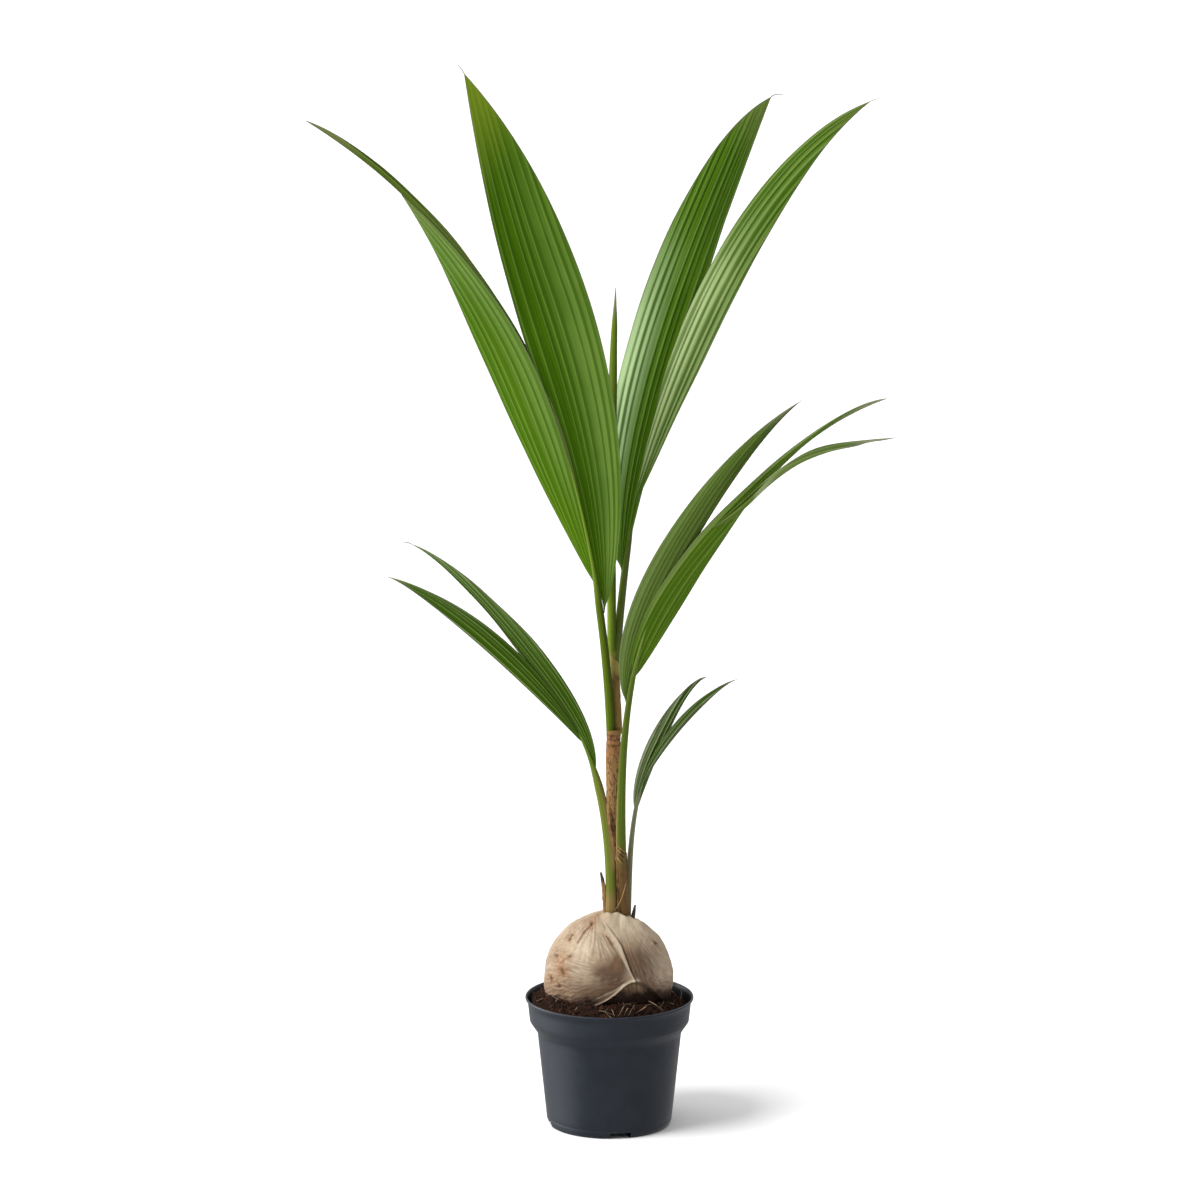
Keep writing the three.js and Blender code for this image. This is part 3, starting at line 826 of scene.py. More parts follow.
def husk_paint():
    """The weathered skin of the husk: fibres from pole to pole, which follow the flaps at the front."""
    paint = Paint("husk", 0.2)
    place = paint.position()
    around = paint.vector(paint.attribute("east"), paint.attribute("north"), paint.attribute("level"))
    flaps = paint.vector(paint.attribute("across"), paint.attribute("length"))
    plain = paint.noise(around, 1.0, 5.0, 0.65)
    flowing = paint.noise(flaps, 1.0, 5.0, 0.65)
    fibre = paint.mixed(paint.attribute("front"), plain, flowing)
    patch = paint.noise(place, 30.0, 4.0, 0.6)
    fine = paint.noise(place, 260.0, 4.0, 0.6)
    colour = paint.over((146, 127, 105), (184, 167, 144), fibre, 0.3, 0.7)
    colour = paint.over(colour, (164, 134, 104), patch, 0.5, 0.75, 0.4)
    colour = paint.over(colour, (144, 116, 90), fine, 0.55, 0.8, 0.35)
    # painted shade in grey patches, in the grooves and low down by the soil, and painted highlights, over the
    # husk's own stains, browning and inner layer
    colour = paint.marked(
        colour, grey=(92, 71, 54), stain=(138, 103, 72), browned=(88, 64, 46), hollow=(104, 77, 53),
        bright=(204, 188, 163), soiled=(46, 30, 20), crease=(58, 39, 26),
    )
    height = paint.plus(fibre, paint.times(fine, 0.5))
    return paint.finish(colour, paint.between(fibre, 0.2, 0.8, 0.6, 0.85), height, 0.6)


def soil_paint(name, dark, light):
    paint = Paint(name, 0.1)
    place = paint.position()
    coarse = paint.noise(place, 180.0, 5.0, 0.7)
    fine = paint.noise(place, 900.0, 3.0, 0.6)
    colour = paint.over(dark, light, coarse, 0.35, 0.75)
    return paint.finish(colour, paint.between(fine, 0.2, 0.8, 0.8, 1.0), fine, 0.8)


def pot_paint():
    """Dark moulded plastic with a faint film of dust; the notches are painted near black and without shine,
    as painted shade.
    """
    paint = Paint("pot_plastic")
    place = paint.position()
    grain = paint.noise(place, 1300.0, 2.0, 0.5)
    dust = paint.noise(place, 30.0, 4.0, 0.6)
    colour = paint.over((30, 36, 45), (36, 42, 51), dust, 0.3, 0.75)
    # painted shade: near black and without shine inside the notches
    colour = paint.marked(colour, notch=(7, 7, 8))
    paint.set("Specular IOR Level", paint.between(paint.attribute("notch"), 0.0, 1.0, 0.5, 0.0))
    return paint.finish(colour, paint.between(dust, 0.3, 0.7, 0.36, 0.44), grain, 0.03)


def fibre_paint(name, dark, light):
    paint = Paint(name, 0.2)
    tint = paint.noise(paint.position(), 130.0)
    colour = paint.over(dark, light, tint, 0.35, 0.65)
    return paint.finish(colour, paint.between(tint, 0.3, 0.7, 0.6, 0.85), tint, 0.2)


# Pot and soil


def pot_profile():
    """Radius and height along the pot's underside, outside, lip and inside."""
    lip_foot = POT_HEIGHT - LIP_HEIGHT
    return filled([
        (AXIS_RADIUS, FOOT_RECESS), (FOOT_RADIUS - 6, FOOT_RECESS), (FOOT_RADIUS - 5, 0),
        (FOOT_RADIUS - 0.6, 0), (FOOT_RADIUS, 0.5), (BODY_FOOT_RADIUS, FOOT_BEVEL),
        (BODY_FOOT_RADIUS + 0.1, NOTCH_HEIGHT),
        (BODY_FOOT_RADIUS + 0.15, NOTCH_HEIGHT + 0.2), (BODY_FOOT_RADIUS + 0.4, RING_HEIGHT - 0.8),
        (BODY_FOOT_RADIUS + 0.5 - RING_DEPTH, RING_HEIGHT), (BODY_FOOT_RADIUS + 0.5, RING_HEIGHT + 0.8),
        (BODY_TOP_RADIUS - 0.2, BODY_TOP_HEIGHT - 1), (BODY_TOP_RADIUS + 0.3, BODY_TOP_HEIGHT + 0.4),
        (COLLAR_FOOT_RADIUS - 0.8, COLLAR_FOOT_HEIGHT - 0.9), (COLLAR_FOOT_RADIUS, COLLAR_FOOT_HEIGHT + 0.6),
        (COLLAR_TOP_RADIUS - 0.05, lip_foot - LIP_SLOPE - 0.5),
        (COLLAR_TOP_RADIUS + 0.4, lip_foot - LIP_SLOPE), (RIM_RADIUS - 0.5, lip_foot - 0.4),
        (RIM_RADIUS, lip_foot + 0.4), (RIM_RADIUS, POT_HEIGHT - LIP_ROUND),
        (RIM_RADIUS - 0.3 * LIP_ROUND, POT_HEIGHT - 0.3 * LIP_ROUND), (RIM_RADIUS - LIP_ROUND, POT_HEIGHT),
        (RIM_RADIUS - LIP_WIDTH + LIP_ROUND, POT_HEIGHT), (RIM_RADIUS - LIP_WIDTH, POT_HEIGHT - LIP_ROUND),
        (COLLAR_FOOT_RADIUS - POT_WALL, COLLAR_FOOT_HEIGHT), (BODY_TOP_RADIUS - POT_WALL, BODY_TOP_HEIGHT),
        (BODY_FOOT_RADIUS - POT_WALL, POT_FLOOR), (AXIS_RADIUS, POT_FLOOR),
    ], POT_STEP)


def pot():
    """The pot, with drain notches round its foot."""
    front = -math.pi / 2 + math.radians(NOTCH_TURN)
    pitch = 2 * math.pi / NOTCH_COUNT
    half = NOTCH_WIDTH / 2 / BODY_FOOT_RADIUS
    sides = [front + pitch * i + side * half for i in range(NOTCH_COUNT) for side in (-1, 1)]
    steps = np.array([-1.5, -0.5, 0.5, 1.5]) * NOTCH_EDGE / BODY_FOOT_RADIUS
    near_sides = (np.array(sides)[:, None] + steps[None]).ravel()
    angles = np.sort(np.concatenate([all_round(POT_COLUMNS), near_sides % (2 * math.pi)]))
    radius, height, angle = turned(pot_profile(), angles)
    off = np.abs((angle - front + pitch / 2) % pitch - pitch / 2) - half
    low = height <= NOTCH_HEIGHT + 0.1
    inside = off < -NOTCH_EDGE / BODY_FOOT_RADIUS
    recessed = inside & low & (radius > FOOT_RADIUS - NOTCH_DEPTH)
    radius = np.where(recessed, BODY_FOOT_RADIUS - NOTCH_DEPTH, radius)
    sections = from_polar(radius, angle, height)
    # where the notches are painted dark, as shade
    notch = (off < 0) & low
    shell("tub", sections, pot_paint(), ["pot"], dict(notch=notch), crisp=POT_CRISP)


def soil_height(x, y):
    """The soil's surface: heaped round the nut and against its split, and higher on the left."""
    radius = np.hypot(x, y)
    share = smooth(radius, SOIL_CREST_RADIUS, COLLAR_FOOT_RADIUS - (POT_WALL + 0.3))
    heap = SOIL_HEAP * bump(x - SOIL_HEAP_PLACE, SOIL_HEAP_WIDTH) * smooth(y, *SOIL_HEAP_FRONT) * (1 - share)
    return SOIL_CREST_HEIGHT + (SOIL_EDGE_HEIGHT - SOIL_CREST_HEIGHT) * share - SOIL_TILT * x + heap


def soil():
    clear = POT_WALL + SOIL_GAP
    covered, middle = SOIL_COVERED_RADII
    below = filled([
        (AXIS_RADIUS, POT_FLOOR + 0.3), (BODY_FOOT_RADIUS - clear, POT_FLOOR + 0.3),
        (BODY_TOP_RADIUS - clear, BODY_TOP_HEIGHT + 0.3),
        (COLLAR_FOOT_RADIUS - clear, COLLAR_FOOT_HEIGHT + 0.3),
        (COLLAR_FOOT_RADIUS - clear, SOIL_EDGE_HEIGHT - 5),
    ], 2 * POT_STEP)
    top = filled([(COLLAR_FOOT_RADIUS - clear, SOIL_EDGE_HEIGHT), (covered, SOIL_CREST_HEIGHT)], SOIL_STEP)
    within = [(middle, SOIL_CREST_HEIGHT), (AXIS_RADIUS, SOIL_CREST_HEIGHT)]
    radius, height, angle = turned(np.concatenate([below, top, within]), all_round(SOIL_COLUMNS))
    sections = from_polar(radius, angle, height)
    ground = sections[len(below):len(below) + len(top)]
    flat = ground.reshape(-1, 3)
    lift = ripple(flat, 4.0, 3) + 0.6 * ripple(flat, 9.0, 4)
    ground[..., 2] = soil_height(ground[..., 0], ground[..., 1])
    ground[..., 2] += SOIL_ROUGHNESS * lift.reshape(ground.shape[:2])
    shell("earth", sections, soil_paint("earth", (26, 16, 11), (62, 40, 28)), ["soil"])


def ball():
    """A rough little body of 12 points: the points and the triangles."""
    golden = (1 + math.sqrt(5)) / 2
    points = []
    for a in (-1, 1):
        for b in (-golden, golden):
            points += [(0, a, b), (a, b, 0), (b, 0, a)]
    points = unit(np.array(points))
    near = np.linalg.norm(points[:, None] - points[None], axis=-1) < 1.2
    faces = []
    for i, j, k in itertools.combinations(range(12), 3):
        if near[i, j] and near[j, k] and near[i, k]:
            outward = np.cross(points[j] - points[i], points[k] - points[i]) @ points[i]
            faces.append((i, j, k) if outward > 0 else (i, k, j))
    return points, np.array(faces)


def on_soil(count):
    """Random places on the soil between the nut and the pot's wall."""
    angle = rng.uniform(0, 2 * math.pi, count)
    radius = np.sqrt(rng.uniform(SOIL_NUT_RADIUS**2, (COLLAR_FOOT_RADIUS - POT_WALL - 2.5) ** 2, count))
    places = from_polar(radius, angle, np.zeros(count))
    places[:, 2] = soil_height(places[:, 0], places[:, 1])
    return places


def crumbs(name, count, largest, paint):
    points, faces = ball()
    size = rng.uniform(0.5, 1, (count, 1, 1)) ** 2 * largest
    shape = rng.uniform(0.6, 1.25, (count, 12, 1)) * rng.uniform(0.6, 1.3, (count, 1, 3))
    bodies = points[None] * shape * size + on_soil(count)[:, None, :]
    many(name, bodies, faces, paint)


def around(first, second, angle):
    """The way out of a path at each of its rows and each angle, from two axes across it at each row."""
    turn = angle[None, :, None]
    return np.cos(turn) * first[:, None] + np.sin(turn) * second[:, None]


def strand(path, radius):
    """Points of a thin round strand along a path of points."""
    along = unit(np.gradient(path, axis=0))
    side = unit(np.cross(along, NOT_ALONG_A_STRAND))
    reach = np.broadcast_to(radius, len(path))[:, None, None]
    sections = path[:, None] + reach * around(side, np.cross(along, side), all_round(STRAND_COLUMNS))
    return sections.reshape(-1, 3)


def strands(name, paths, radius, paint):
    """One piece of thin strands, each given by four control points."""
    share = np.linspace(0, 1, STRAND_ROWS)
    thin = radius * (1 - STRAND_TAPER * share)
    bodies = [strand(points_on(np.array(path, float), share), thin) for path in paths]
    many(name, np.array(bodies), shell_faces(STRAND_ROWS, STRAND_COLUMNS), paint)


def coir():
    """Fibres of the husk that lie on the soil, and some that stick out of it."""
    share = np.linspace(-0.5, 0.5, FIBRE_ROWS)
    bodies = []
    for place in on_soil(FIBRE_COUNT):
        turn = rng.uniform(0, math.pi)
        length = rng.uniform(*FIBRE_LENGTHS)
        rise = rng.uniform(*FIBRE_RISES)
        bow = rng.uniform(*FIBRE_BOWS)
        path = np.stack([
            length * (share * math.cos(turn) + bow * share**2 * math.sin(turn)),
            length * (share * math.sin(turn) - bow * share**2 * math.cos(turn)),
            length * rise * (share + 0.2) + FIBRE_CLEARANCE,
        ], -1) + place
        if np.hypot(path[:, 0], path[:, 1]).max() <= COLLAR_FOOT_RADIUS - POT_WALL - 1:
            bodies.append(strand(path, rng.uniform(*FIBRE_RADII)))
    paint = fibre_paint("coir", (92, 70, 52), (166, 144, 120))
    many("coir", np.array(bodies), shell_faces(FIBRE_ROWS, STRAND_COLUMNS), paint)
    strands("coir_long", SOIL_STRANDS, SOIL_STRAND_RADIUS, paint)


# Nut


def husk_form():
    """The smooth form of the nut, closer set at the front: points and the way out of it, rows by columns."""
    rise = np.linspace(NUT_POLE_GAP, math.pi - NUT_POLE_GAP, NUT_ROWS)
    even = all_round(NUT_COLUMNS)
    turn = even - NUT_CROWDING * np.sin(even + math.pi / 2)
    rise, turn = np.meshgrid(rise, turn, indexing="ij")
    out = np.stack([np.sin(rise) * np.cos(turn), np.sin(rise) * np.sin(turn), -np.cos(rise)], -1)
    angular = 1 + NUT_ANGULARITY * np.cos(NUT_SIDES * turn) * np.sin(rise) ** 2
    points = NUT_CENTRE + NUT_RADII * out * np.stack([angular, angular, np.ones_like(angular)], -1)
    points[..., 0] -= NUT_LEAN * np.maximum(0, out[..., 2]) ** 2
    shoulder = smooth(out @ np.array(NUT_SHOULDER), 0.72, 1.0)
    return points - NUT_SHOULDER_DEPTH * shoulder[..., None] * out, out


def seen_from_front(points):
    """Millimetres to the right of the nut's centre and above it, as the camera sees them."""
    pitch = math.radians(CAMERA_PITCH)
    off = np.vstack([NUT_CENTRE, points]) - np.array(CAMERA_TARGET)
    up = off[:, 2] * math.cos(pitch) + off[:, 1] * math.sin(pitch)
    away = CAMERA_DISTANCE + off[:, 1] * math.cos(pitch) - off[:, 2] * math.sin(pitch)
    seen = np.stack([off[:, 0], up], -1) * (away[0] / away)[:, None]
    return seen[1:] - seen[0]


def from_feet(points):
    """Distance on the level from the feet of the stems."""
    feet = [stem for stem in [*RIBS.values(), *SHEATHS.values()] if stem["base"][2] < FEET_TOP]
    off = [np.linalg.norm(points[:, :2] - stem["base"][:2], axis=1) - stem["root"] for stem in feet]
    return np.min(off, axis=0)


def patches(at, places):
    """Patches that fade over their width and height, added up."""
    u, v = at.view.T
    return sum(
        amount * bump(u - x, width) * bump(v - y, height) for amount, (x, y), width, height in places
    )


def fan(view, centre, pitch, length):
    """Coordinates across and along lines that spread from a centre, some degrees apart."""
    off = view - np.array(centre)
    angle = np.degrees(np.arctan2(off[:, 1], -off[:, 0]))
    return angle / pitch, np.linalg.norm(off, axis=1) / length


def folds(across, along, seed):
    """Uneven folds along the lines of a fan."""
    return ripple(np.stack([across, along, 0 * along], -1), 1, seed)


def husk_places(points):
    """Where points lie on the husk: as seen, how far from its splits and cracks, and in which panel."""
    view = seen_from_front(points)
    u, v = view.T
    front = smooth(points[:, 1], 2, -14)
    at = SimpleNamespace(points=points, view=view, u=u, v=v, front=front)
    at.up, at.up_share = to_line(view, SPLIT_UP)
    at.strip, strip_share = to_line(view, STRIP_EDGE)
    at.lip, lip_share = to_line(view, SPLIT_LEFT)
    at.second, _ = to_line(view, SECOND_LIP)
    at.right, right_share = to_line(view, SPLIT_RIGHT)
    at.crack = np.min([to_line(view, line)[0] for line in CRACKS], axis=0)
    at.above = v - across_line(SPLIT_LEFT[::-1] + SPLIT_RIGHT[1:], u, 0, 1)
    left_of_split = across_line(SPLIT_UP, v, 1, 0) - u
    right_of_strip = u - across_line(STRIP_EDGE, v, 1, 0)

    at.upper = smooth(at.above, -0.5, 0.5)
    at.hollow = front * smooth(at.above, 0.3, -2.2) * smooth(u, -34, -16) * smooth(u, 66, 58)
    at.left_panel = front * at.upper * smooth(left_of_split, -0.4, 0.4)
    at.right_panel = front * at.upper * smooth(left_of_split, 0.4, -0.4)
    at.in_strip = at.left_panel * smooth(right_of_strip, -0.6, 0.6) * smooth(v, 56, 44)
    at.ridge = at.in_strip * bump(at.up - 3, 2.8)
    at.up_fade = front * (1 - smooth(at.up_share, 0.62, 1))
    at.strip_fade = front * smooth(strip_share, 0.45, 0.65) * (1 - smooth(strip_share, 0.85, 1))
    at.lip_fade = front * (1 - smooth(lip_share, 0.85, 1))
    at.right_fade = front * (1 - smooth(right_share, 0.75, 1))
    return at


def add_folds(at):
    """Adds the folds of the husk's skin, which spread from three centres, and where each kind lies."""
    at.meet_across, at.meet_along = fan(at.view, *MEET_FAN)
    at.top_across, at.top_along = fan(at.view, *TOP_FAN)
    at.wobble = ripple(at.points, 14, 34)
    at.wrinkles = folds(1.3 * at.meet_across + 0.35 * at.wobble, 1.4 * at.meet_along, 31)
    at.creases = folds(*fan(at.view, *LEFT_FAN), 32)
    at.streaks = folds(1.2 * at.top_across + 0.35 * at.wobble, 1.2 * at.top_along, 33)
    at.wrinkled = at.left_panel * smooth(at.meet_along, 0.16, 0.5) * bump(at.meet_across + 4.8, 10)
    at.folded = at.left_panel * (1 - at.in_strip) * smooth(at.v, 8, 28) * smooth(at.u, -48, -26)
    at.streaked = at.right_panel * smooth(at.up, 1, 5)


def stem_rim(at):
    """The swelling round the feet of the stems, torn, and higher at the front."""
    in_front = smooth(at.points[:, 1], 6, -6) * smooth(at.u, -10, 1)
    on_top = smooth(at.points[:, 2], NUT_CENTRE[2] + 40, NUT_CENTRE[2] + 60)
    on_top *= 1 - (0.85 - 0.38 * in_front) * smooth(at.u, 14, 28)
    torn = 0.95 + 0.06 * ripple(at.points, 9, 30)
    height = NUT_RIM_HEIGHT * (1 + NUT_RIM_FRONT * in_front)
    return height * torn * on_top * bump(from_feet(at.points) - NUT_RIM_REACH, NUT_RIM_WIDTH)


def husk_lift(at):
    """How far the husk stands out of its smooth form."""
    lift = 1.4 * at.ridge - 1.2 * at.right_panel * np.exp(-at.up / 8) * at.up_fade
    lift -= 1.8 * bump(at.up, 1.1) * at.up_fade + 0.8 * bump(at.strip, 0.9) * at.strip_fade
    lift += stem_rim(at)
    lift += at.upper * (1.6 * bump(at.lip, 1.7) + 0.8 * np.exp(-at.lip / 6)) * at.lip_fade
    lift -= 0.6 * bump(at.second - 0.9, 0.7) * at.front * at.upper
    lift += 0.8 * at.upper * np.exp(-at.right / 4) * at.right_fade
    lift -= 4.6 * at.hollow
    lift += 0.34 * at.wrinkles * at.wrinkled + 0.28 * at.creases * at.folded + 0.2 * at.streaks * at.streaked
    lift += 0.5 * at.hollow * at.streaks
    lift += 1.8 * smooth(at.u, -24, -52) * smooth(at.v, -30, -5)
    lift += 0.8 * ripple(at.points, 42, 23) + 0.22 * ripple(at.points, 10, 24)
    return lift - 0.5 * at.front * bump(at.crack, 0.8)


def husk_crease(at, ragged, specks):
    """Dark lines of painted shade in the grooves along the splits and cracks and under the lip of the hollow,
    and dark specks.
    """
    broken = smooth(ripple(at.points, 14, 27), -0.9, 0.5)
    return np.max([
        0.85 * bump(at.up, 1.1) * at.up_fade * (1 - 0.6 * smooth(at.up_share, 0.5, 0.8)),
        0.7 * bump(at.strip, 0.9) * at.strip_fade * broken,
        0.85 * bump(at.right, 0.9) * at.right_fade,
        0.75 * at.hollow * bump(at.above + 1.2, 1.6),
        0.7 * at.front * bump(at.crack * ragged, 1.0),
        0.9 * at.front * bump(specks, 1.8).max(1),
    ], axis=0)


def husk_stain(at, ragged, specks):
    """Brown stains low down, in patches, and round the cracks and specks."""
    torn_skin = at.front * bump(at.crack * ragged, 4)
    stain = 0.3 * smooth(ripple(at.points, 34, 25), 0.4, 1.4) + 0.55 * smooth(at.v, -14, -42)
    stain += 0.6 * torn_skin
    stain += at.front * (patches(at, STAINS) + 0.5 * bump(specks, 4.5).sum(1))
    stain += 0.35 * at.front * smooth(at.v, 6, -12) * smooth(at.u, -32, -50)
    return stain * (0.75 + 0.35 * ripple(at.points, 7, 28))


def husk_grey(at):
    """Painted shade beside the strip, in patches, on the right flap and in the folds."""
    grey = at.front * (patches(at, STRIP_SHADES) * (1 - 0.6 * at.ridge) + patches(at, SHADES))
    right_low = at.right_panel * (1 - smooth(at.v, 22, 48))
    shaded = 0.58 + 0.16 * at.streaks + patches(at, RIGHT_SHADES)
    grey += right_low * shaded * (1 - 0.9 * smooth(at.u, 46, 62)) + 0.14 * at.front * smooth(at.u, -22, -44)
    return grey + 0.5 * at.wrinkled * (0.5 - 0.8 * at.wrinkles) + 0.3 * at.folded * (0.4 - 0.6 * at.creases)


def husk_bright(at):
    """Painted highlights on the lips of the split, on the ridge and in patches."""
    bright = 0.7 * at.upper * bump(at.lip - 1.1, 1.0 + 1.2 * smooth(at.u, 10, 26)) * at.lip_fade
    bright += 0.4 * bump(at.second, 0.9) * at.front * at.upper
    return bright + at.front * patches(at, LIGHTS) + 0.45 * at.ridge


def husk_soiled(at):
    """Darker low down and at the bottom of the hollow, painted shade with some clinging soil, and a painted
    shadow on the lower right.
    """
    low = at.v + 2.5 * ripple(at.points, 12, 29)
    soiled = at.hollow * smooth(low, -10, -26) + (1 - at.hollow) * smooth(low, -20, -31)
    soiled += 0.8 * at.front * smooth(at.u, 40, 56) * smooth(low, -11, -17)
    return soiled * (1 - 0.8 * at.upper * bump(at.lip - 0.8, 1.2) * at.lip_fade)


def husk_shares(at):
    """Shares of the husk's colours."""
    ragged = 1 + 0.35 * ripple(at.points, 5, 26)
    specks = np.linalg.norm(at.view[:, None] - np.array(SPECKS), axis=-1) * ragged[:, None]
    low_left = smooth(at.v - 4 * at.wrinkles, 2, -19) * (0.15 + 0.85 * smooth(at.u, -56, -26))
    shares = dict(
        front=at.front,
        crease=husk_crease(at, ragged, specks),
        stain=husk_stain(at, ragged, specks),
        grey=husk_grey(at),
        bright=husk_bright(at),
        soiled=husk_soiled(at),
        browned=0.9 * at.upper * at.front * low_left,
        hollow=at.hollow * (0.8 - 0.2 * at.streaks),
    )
    return {key: np.clip(share, 0, 1) for key, share in shares.items()}


def husk():
    """The nut in its husk, split into three flaps."""
    form, out = husk_form()
    shape = form.shape[:2]
    at = husk_places(form.reshape(-1, 3))
    add_folds(at)
    values = husk_shares(at)
    on_left = at.left_panel > 0.5
    values["across"] = np.where(on_left, 1.4 * at.meet_across, 1.2 * at.top_across) + 0.4 * at.wobble
    values["length"] = 1.4 * np.where(on_left, at.meet_along, at.top_along)
    attributes = {key: value.reshape(shape) for key, value in values.items()}
    level = np.linalg.norm(out[..., :2], axis=-1)
    attributes["east"] = NUT_FIBRES * out[..., 0] / level
    attributes["north"] = NUT_FIBRES * out[..., 1] / level
    attributes["level"] = NUT_FIBRE_STEPS * out[..., 2]
    sections = form + out * husk_lift(at).reshape(*shape, 1)
    shell("husk", sections, husk_paint(), ["nut"], attributes)


# Stems


def limb(size, outline, columns=LIMB_COLUMNS, step=LIMB_STEP):
    """Sections of a tapering limb and its attributes; outline(t, angle) scales its radius."""
    control = curve(size["base"], size["tip"], size["line"], size.get("bow", 0))
    length = np.linalg.norm(control[3] - control[0])
    t = np.linspace(0, 1, max(LEAST_STEPS, int(length / step)))
    angle = all_round(columns)
    along = tangents_on(control, t)
    across = unit(np.cross((0.0, 1.0, 0.0), along))
    radius = size["end"] + (size["root"] - size["end"]) * (1 - t ** size["hold"])
    t_grid, angle_grid = np.meshgrid(t, angle, indexing="ij")
    reach = radius[:, None] * outline(t_grid, angle_grid)
    out = around(across, np.cross(along, across), angle)
    sections = points_on(control, t)[:, None] + reach[..., None] * out
    attributes = dict(along=t_grid, turn=np.cos(angle_grid - 0.4) + angle_grid / 6, right=np.cos(angle_grid))
    return sections, attributes


def past_neck(rib, t):
    """0 on a frond's stalk, 1 on its rib."""
    return smooth(t, rib["neck"] - RIB_NECK_START, rib["neck"] + RIB_NECK_END)


def stalk_outline(rib, groove):
    """A stalk with a channel on the side at the angle groove, which thins to a rib at its neck."""

    def outline(t, angle):
        channel = 0.2 * bump(apart(angle, groove), 0.7) * smooth(t, 0.05, 0.3)
        neck = 1 - (1 - rib["thin"]) * past_neck(rib, t)
        return neck * (1 - channel + 0.02 * np.sin(9 * angle + 3 * t))

    return outline


def stalk(name, size, groove, dry, **colours):
    """A frond's stalk, with a dry edge, and its rib."""
    sections, attributes = limb(size, stalk_outline(size, groove))
    along = attributes["along"]
    turn, width, start, end = dry
    edge = bump(apart(all_round(LIMB_COLUMNS), turn), width)[None]
    attributes["rib"] = 0.9 * past_neck(size, along)
    attributes["dry"] = edge * smooth(along, start - 0.06, start) * smooth(along, end, 0.6 * end - 0.01)
    paint = stalk_paint(f"stalk_{name}", **colours)
    shell(f"stalk_{name}", sections, paint, [f"rib_{name}"], attributes)


def stalks():
    for name, look in STALK_LOOKS.items():
        stalk(name, RIBS[name], **look)


def sheath_outline(seed, ridges, depth, collar):
    """A dry sheath with ridges of fibre along it; a collar reaches forward at its top and ends in a lip."""

    def outline(t, angle):
        places = np.stack([np.cos(angle) * 10, np.sin(angle) * 10, t * 60], -1)
        waviness = ripple(places.reshape(-1, 3), 9, seed).reshape(t.shape)
        fibres = depth * (np.sin(ridges * angle + 2.4 * waviness) + 0.8 * waviness)
        forward = collar * smooth(t, 0.8, 1) * np.maximum(0, -np.sin(angle)) ** 2
        rings = bump(t - 0.945, 0.007) + bump(t - 0.968, 0.006) - 1.4 * bump(t - 0.992, 0.008)
        return 1 + fibres + forward - 0.05 * rings * (collar > 0)

    return outline


def mark_lower_sheath(sections, attributes):
    """A reddish top with painted shade in rings under its lip, an olive foot and painted shade in a seam at
    the front.
    """
    along = attributes["along"]
    side, depth, height = np.moveaxis(sections, -1, 0)
    seam = bump(side - np.interp(height, [240, 285, 331], [15, 11, 6.5]), 1.1)
    attributes["lip"] = smooth(along, 0.986, 0.992)
    attributes["red"] = 0.65 * smooth(along, 0.78, 0.92)
    attributes["olive"] = smooth(height, 308, 292)
    attributes["gap"] = 0.7 * seam * smooth(height, 335, 322) * (depth < 0)
    for place in (0.978, 0.956, 0.925):
        attributes["gap"] += 0.6 * bump(along - place, 0.0045)


def slant_upper_sheath(sections, attributes):
    """Cuts the top of the upper sheath at a slant, with a dark blotch of painted shade below it."""
    along = attributes["along"]
    sections[..., 2] -= UPPER_SHEATH_SLANT * smooth(along, 0.75, 1) * attributes["right"]
    uneven = 0.6 + 0.4 * np.sin(40 * along + 3 * attributes["turn"])
    attributes["gap"] = 0.55 * (bump(along - 0.72, 0.07) * uneven)


def sheath(name, seed, ridges, depth, collar, **colours):
    """A sheath or scale."""
    outline = sheath_outline(seed, ridges, depth, collar)
    sections, attributes = limb(SHEATHS[name], outline, SHEATH_COLUMNS, SHEATH_STEP)
    none = 0 * attributes["along"]
    attributes.update(lip=smooth(attributes["along"], 0.72, 0.84), red=none, olive=none, gap=none)
    if name == "lower":
        mark_lower_sheath(sections, attributes)
    if name == "upper":
        slant_upper_sheath(sections, attributes)
    paint = sheath_paint(f"sheath_{name}", **colours)
    shell(f"sheath_skin_{name}", sections, paint, [f"sheath_{name}"], attributes)


def sheaths():
    """The sheaths and scales, and the loose fibres over them."""
    for seed, (name, look) in enumerate(SHEATH_LOOKS.items(), SHEATH_SEED):
        sheath(name, seed, **look)
    pale = fibre_paint("fibre_pale", (122, 92, 56), (172, 138, 90))
    dark = fibre_paint("fibre_dark", (60, 40, 20), (118, 88, 50))
    strands("fibres_pale", PALE_STRANDS, PALE_STRAND_RADIUS, pale)
    strands("fibres_dark", DARK_STRANDS, DARK_STRAND_RADIUS, dark)


def spear():
    """The youngest frond, still rolled up."""

    def outline(t, angle):
        roll = (angle + 5 * t) % (2 * math.pi)
        tip = 1 - 0.3 * smooth(t, 0.9, 1)
        return tip * (1 - 0.16 * bump(roll - 1.5, 0.22) - 0.12 * bump(roll - 4.2, 0.28))

    sections, attributes = limb(SPEAR, outline)
    attributes["rib"] = smooth(attributes["along"], 0.9, 1)
    attributes["dry"] = 0 * attributes["along"]
    shell("spear_leaf", sections, stalk_paint("spear", **SPEAR_LOOK), ["spear"], attributes)


# Fronds


def margin(size, side, t):
    """The left margin of a lobe at side 0 or its right one at side 1, with its fold."""
    pitch = math.radians(FOLD_PITCH)
    recede = np.array([0, math.cos(pitch), -math.sin(pitch)])
    line = (size["left"], size["right"])[side]
    fold = size["fold"][side] * np.sin(math.pi * t)
    return points_on(curve(size["base"], size["tip"], line), t) + fold[:, None] * recede


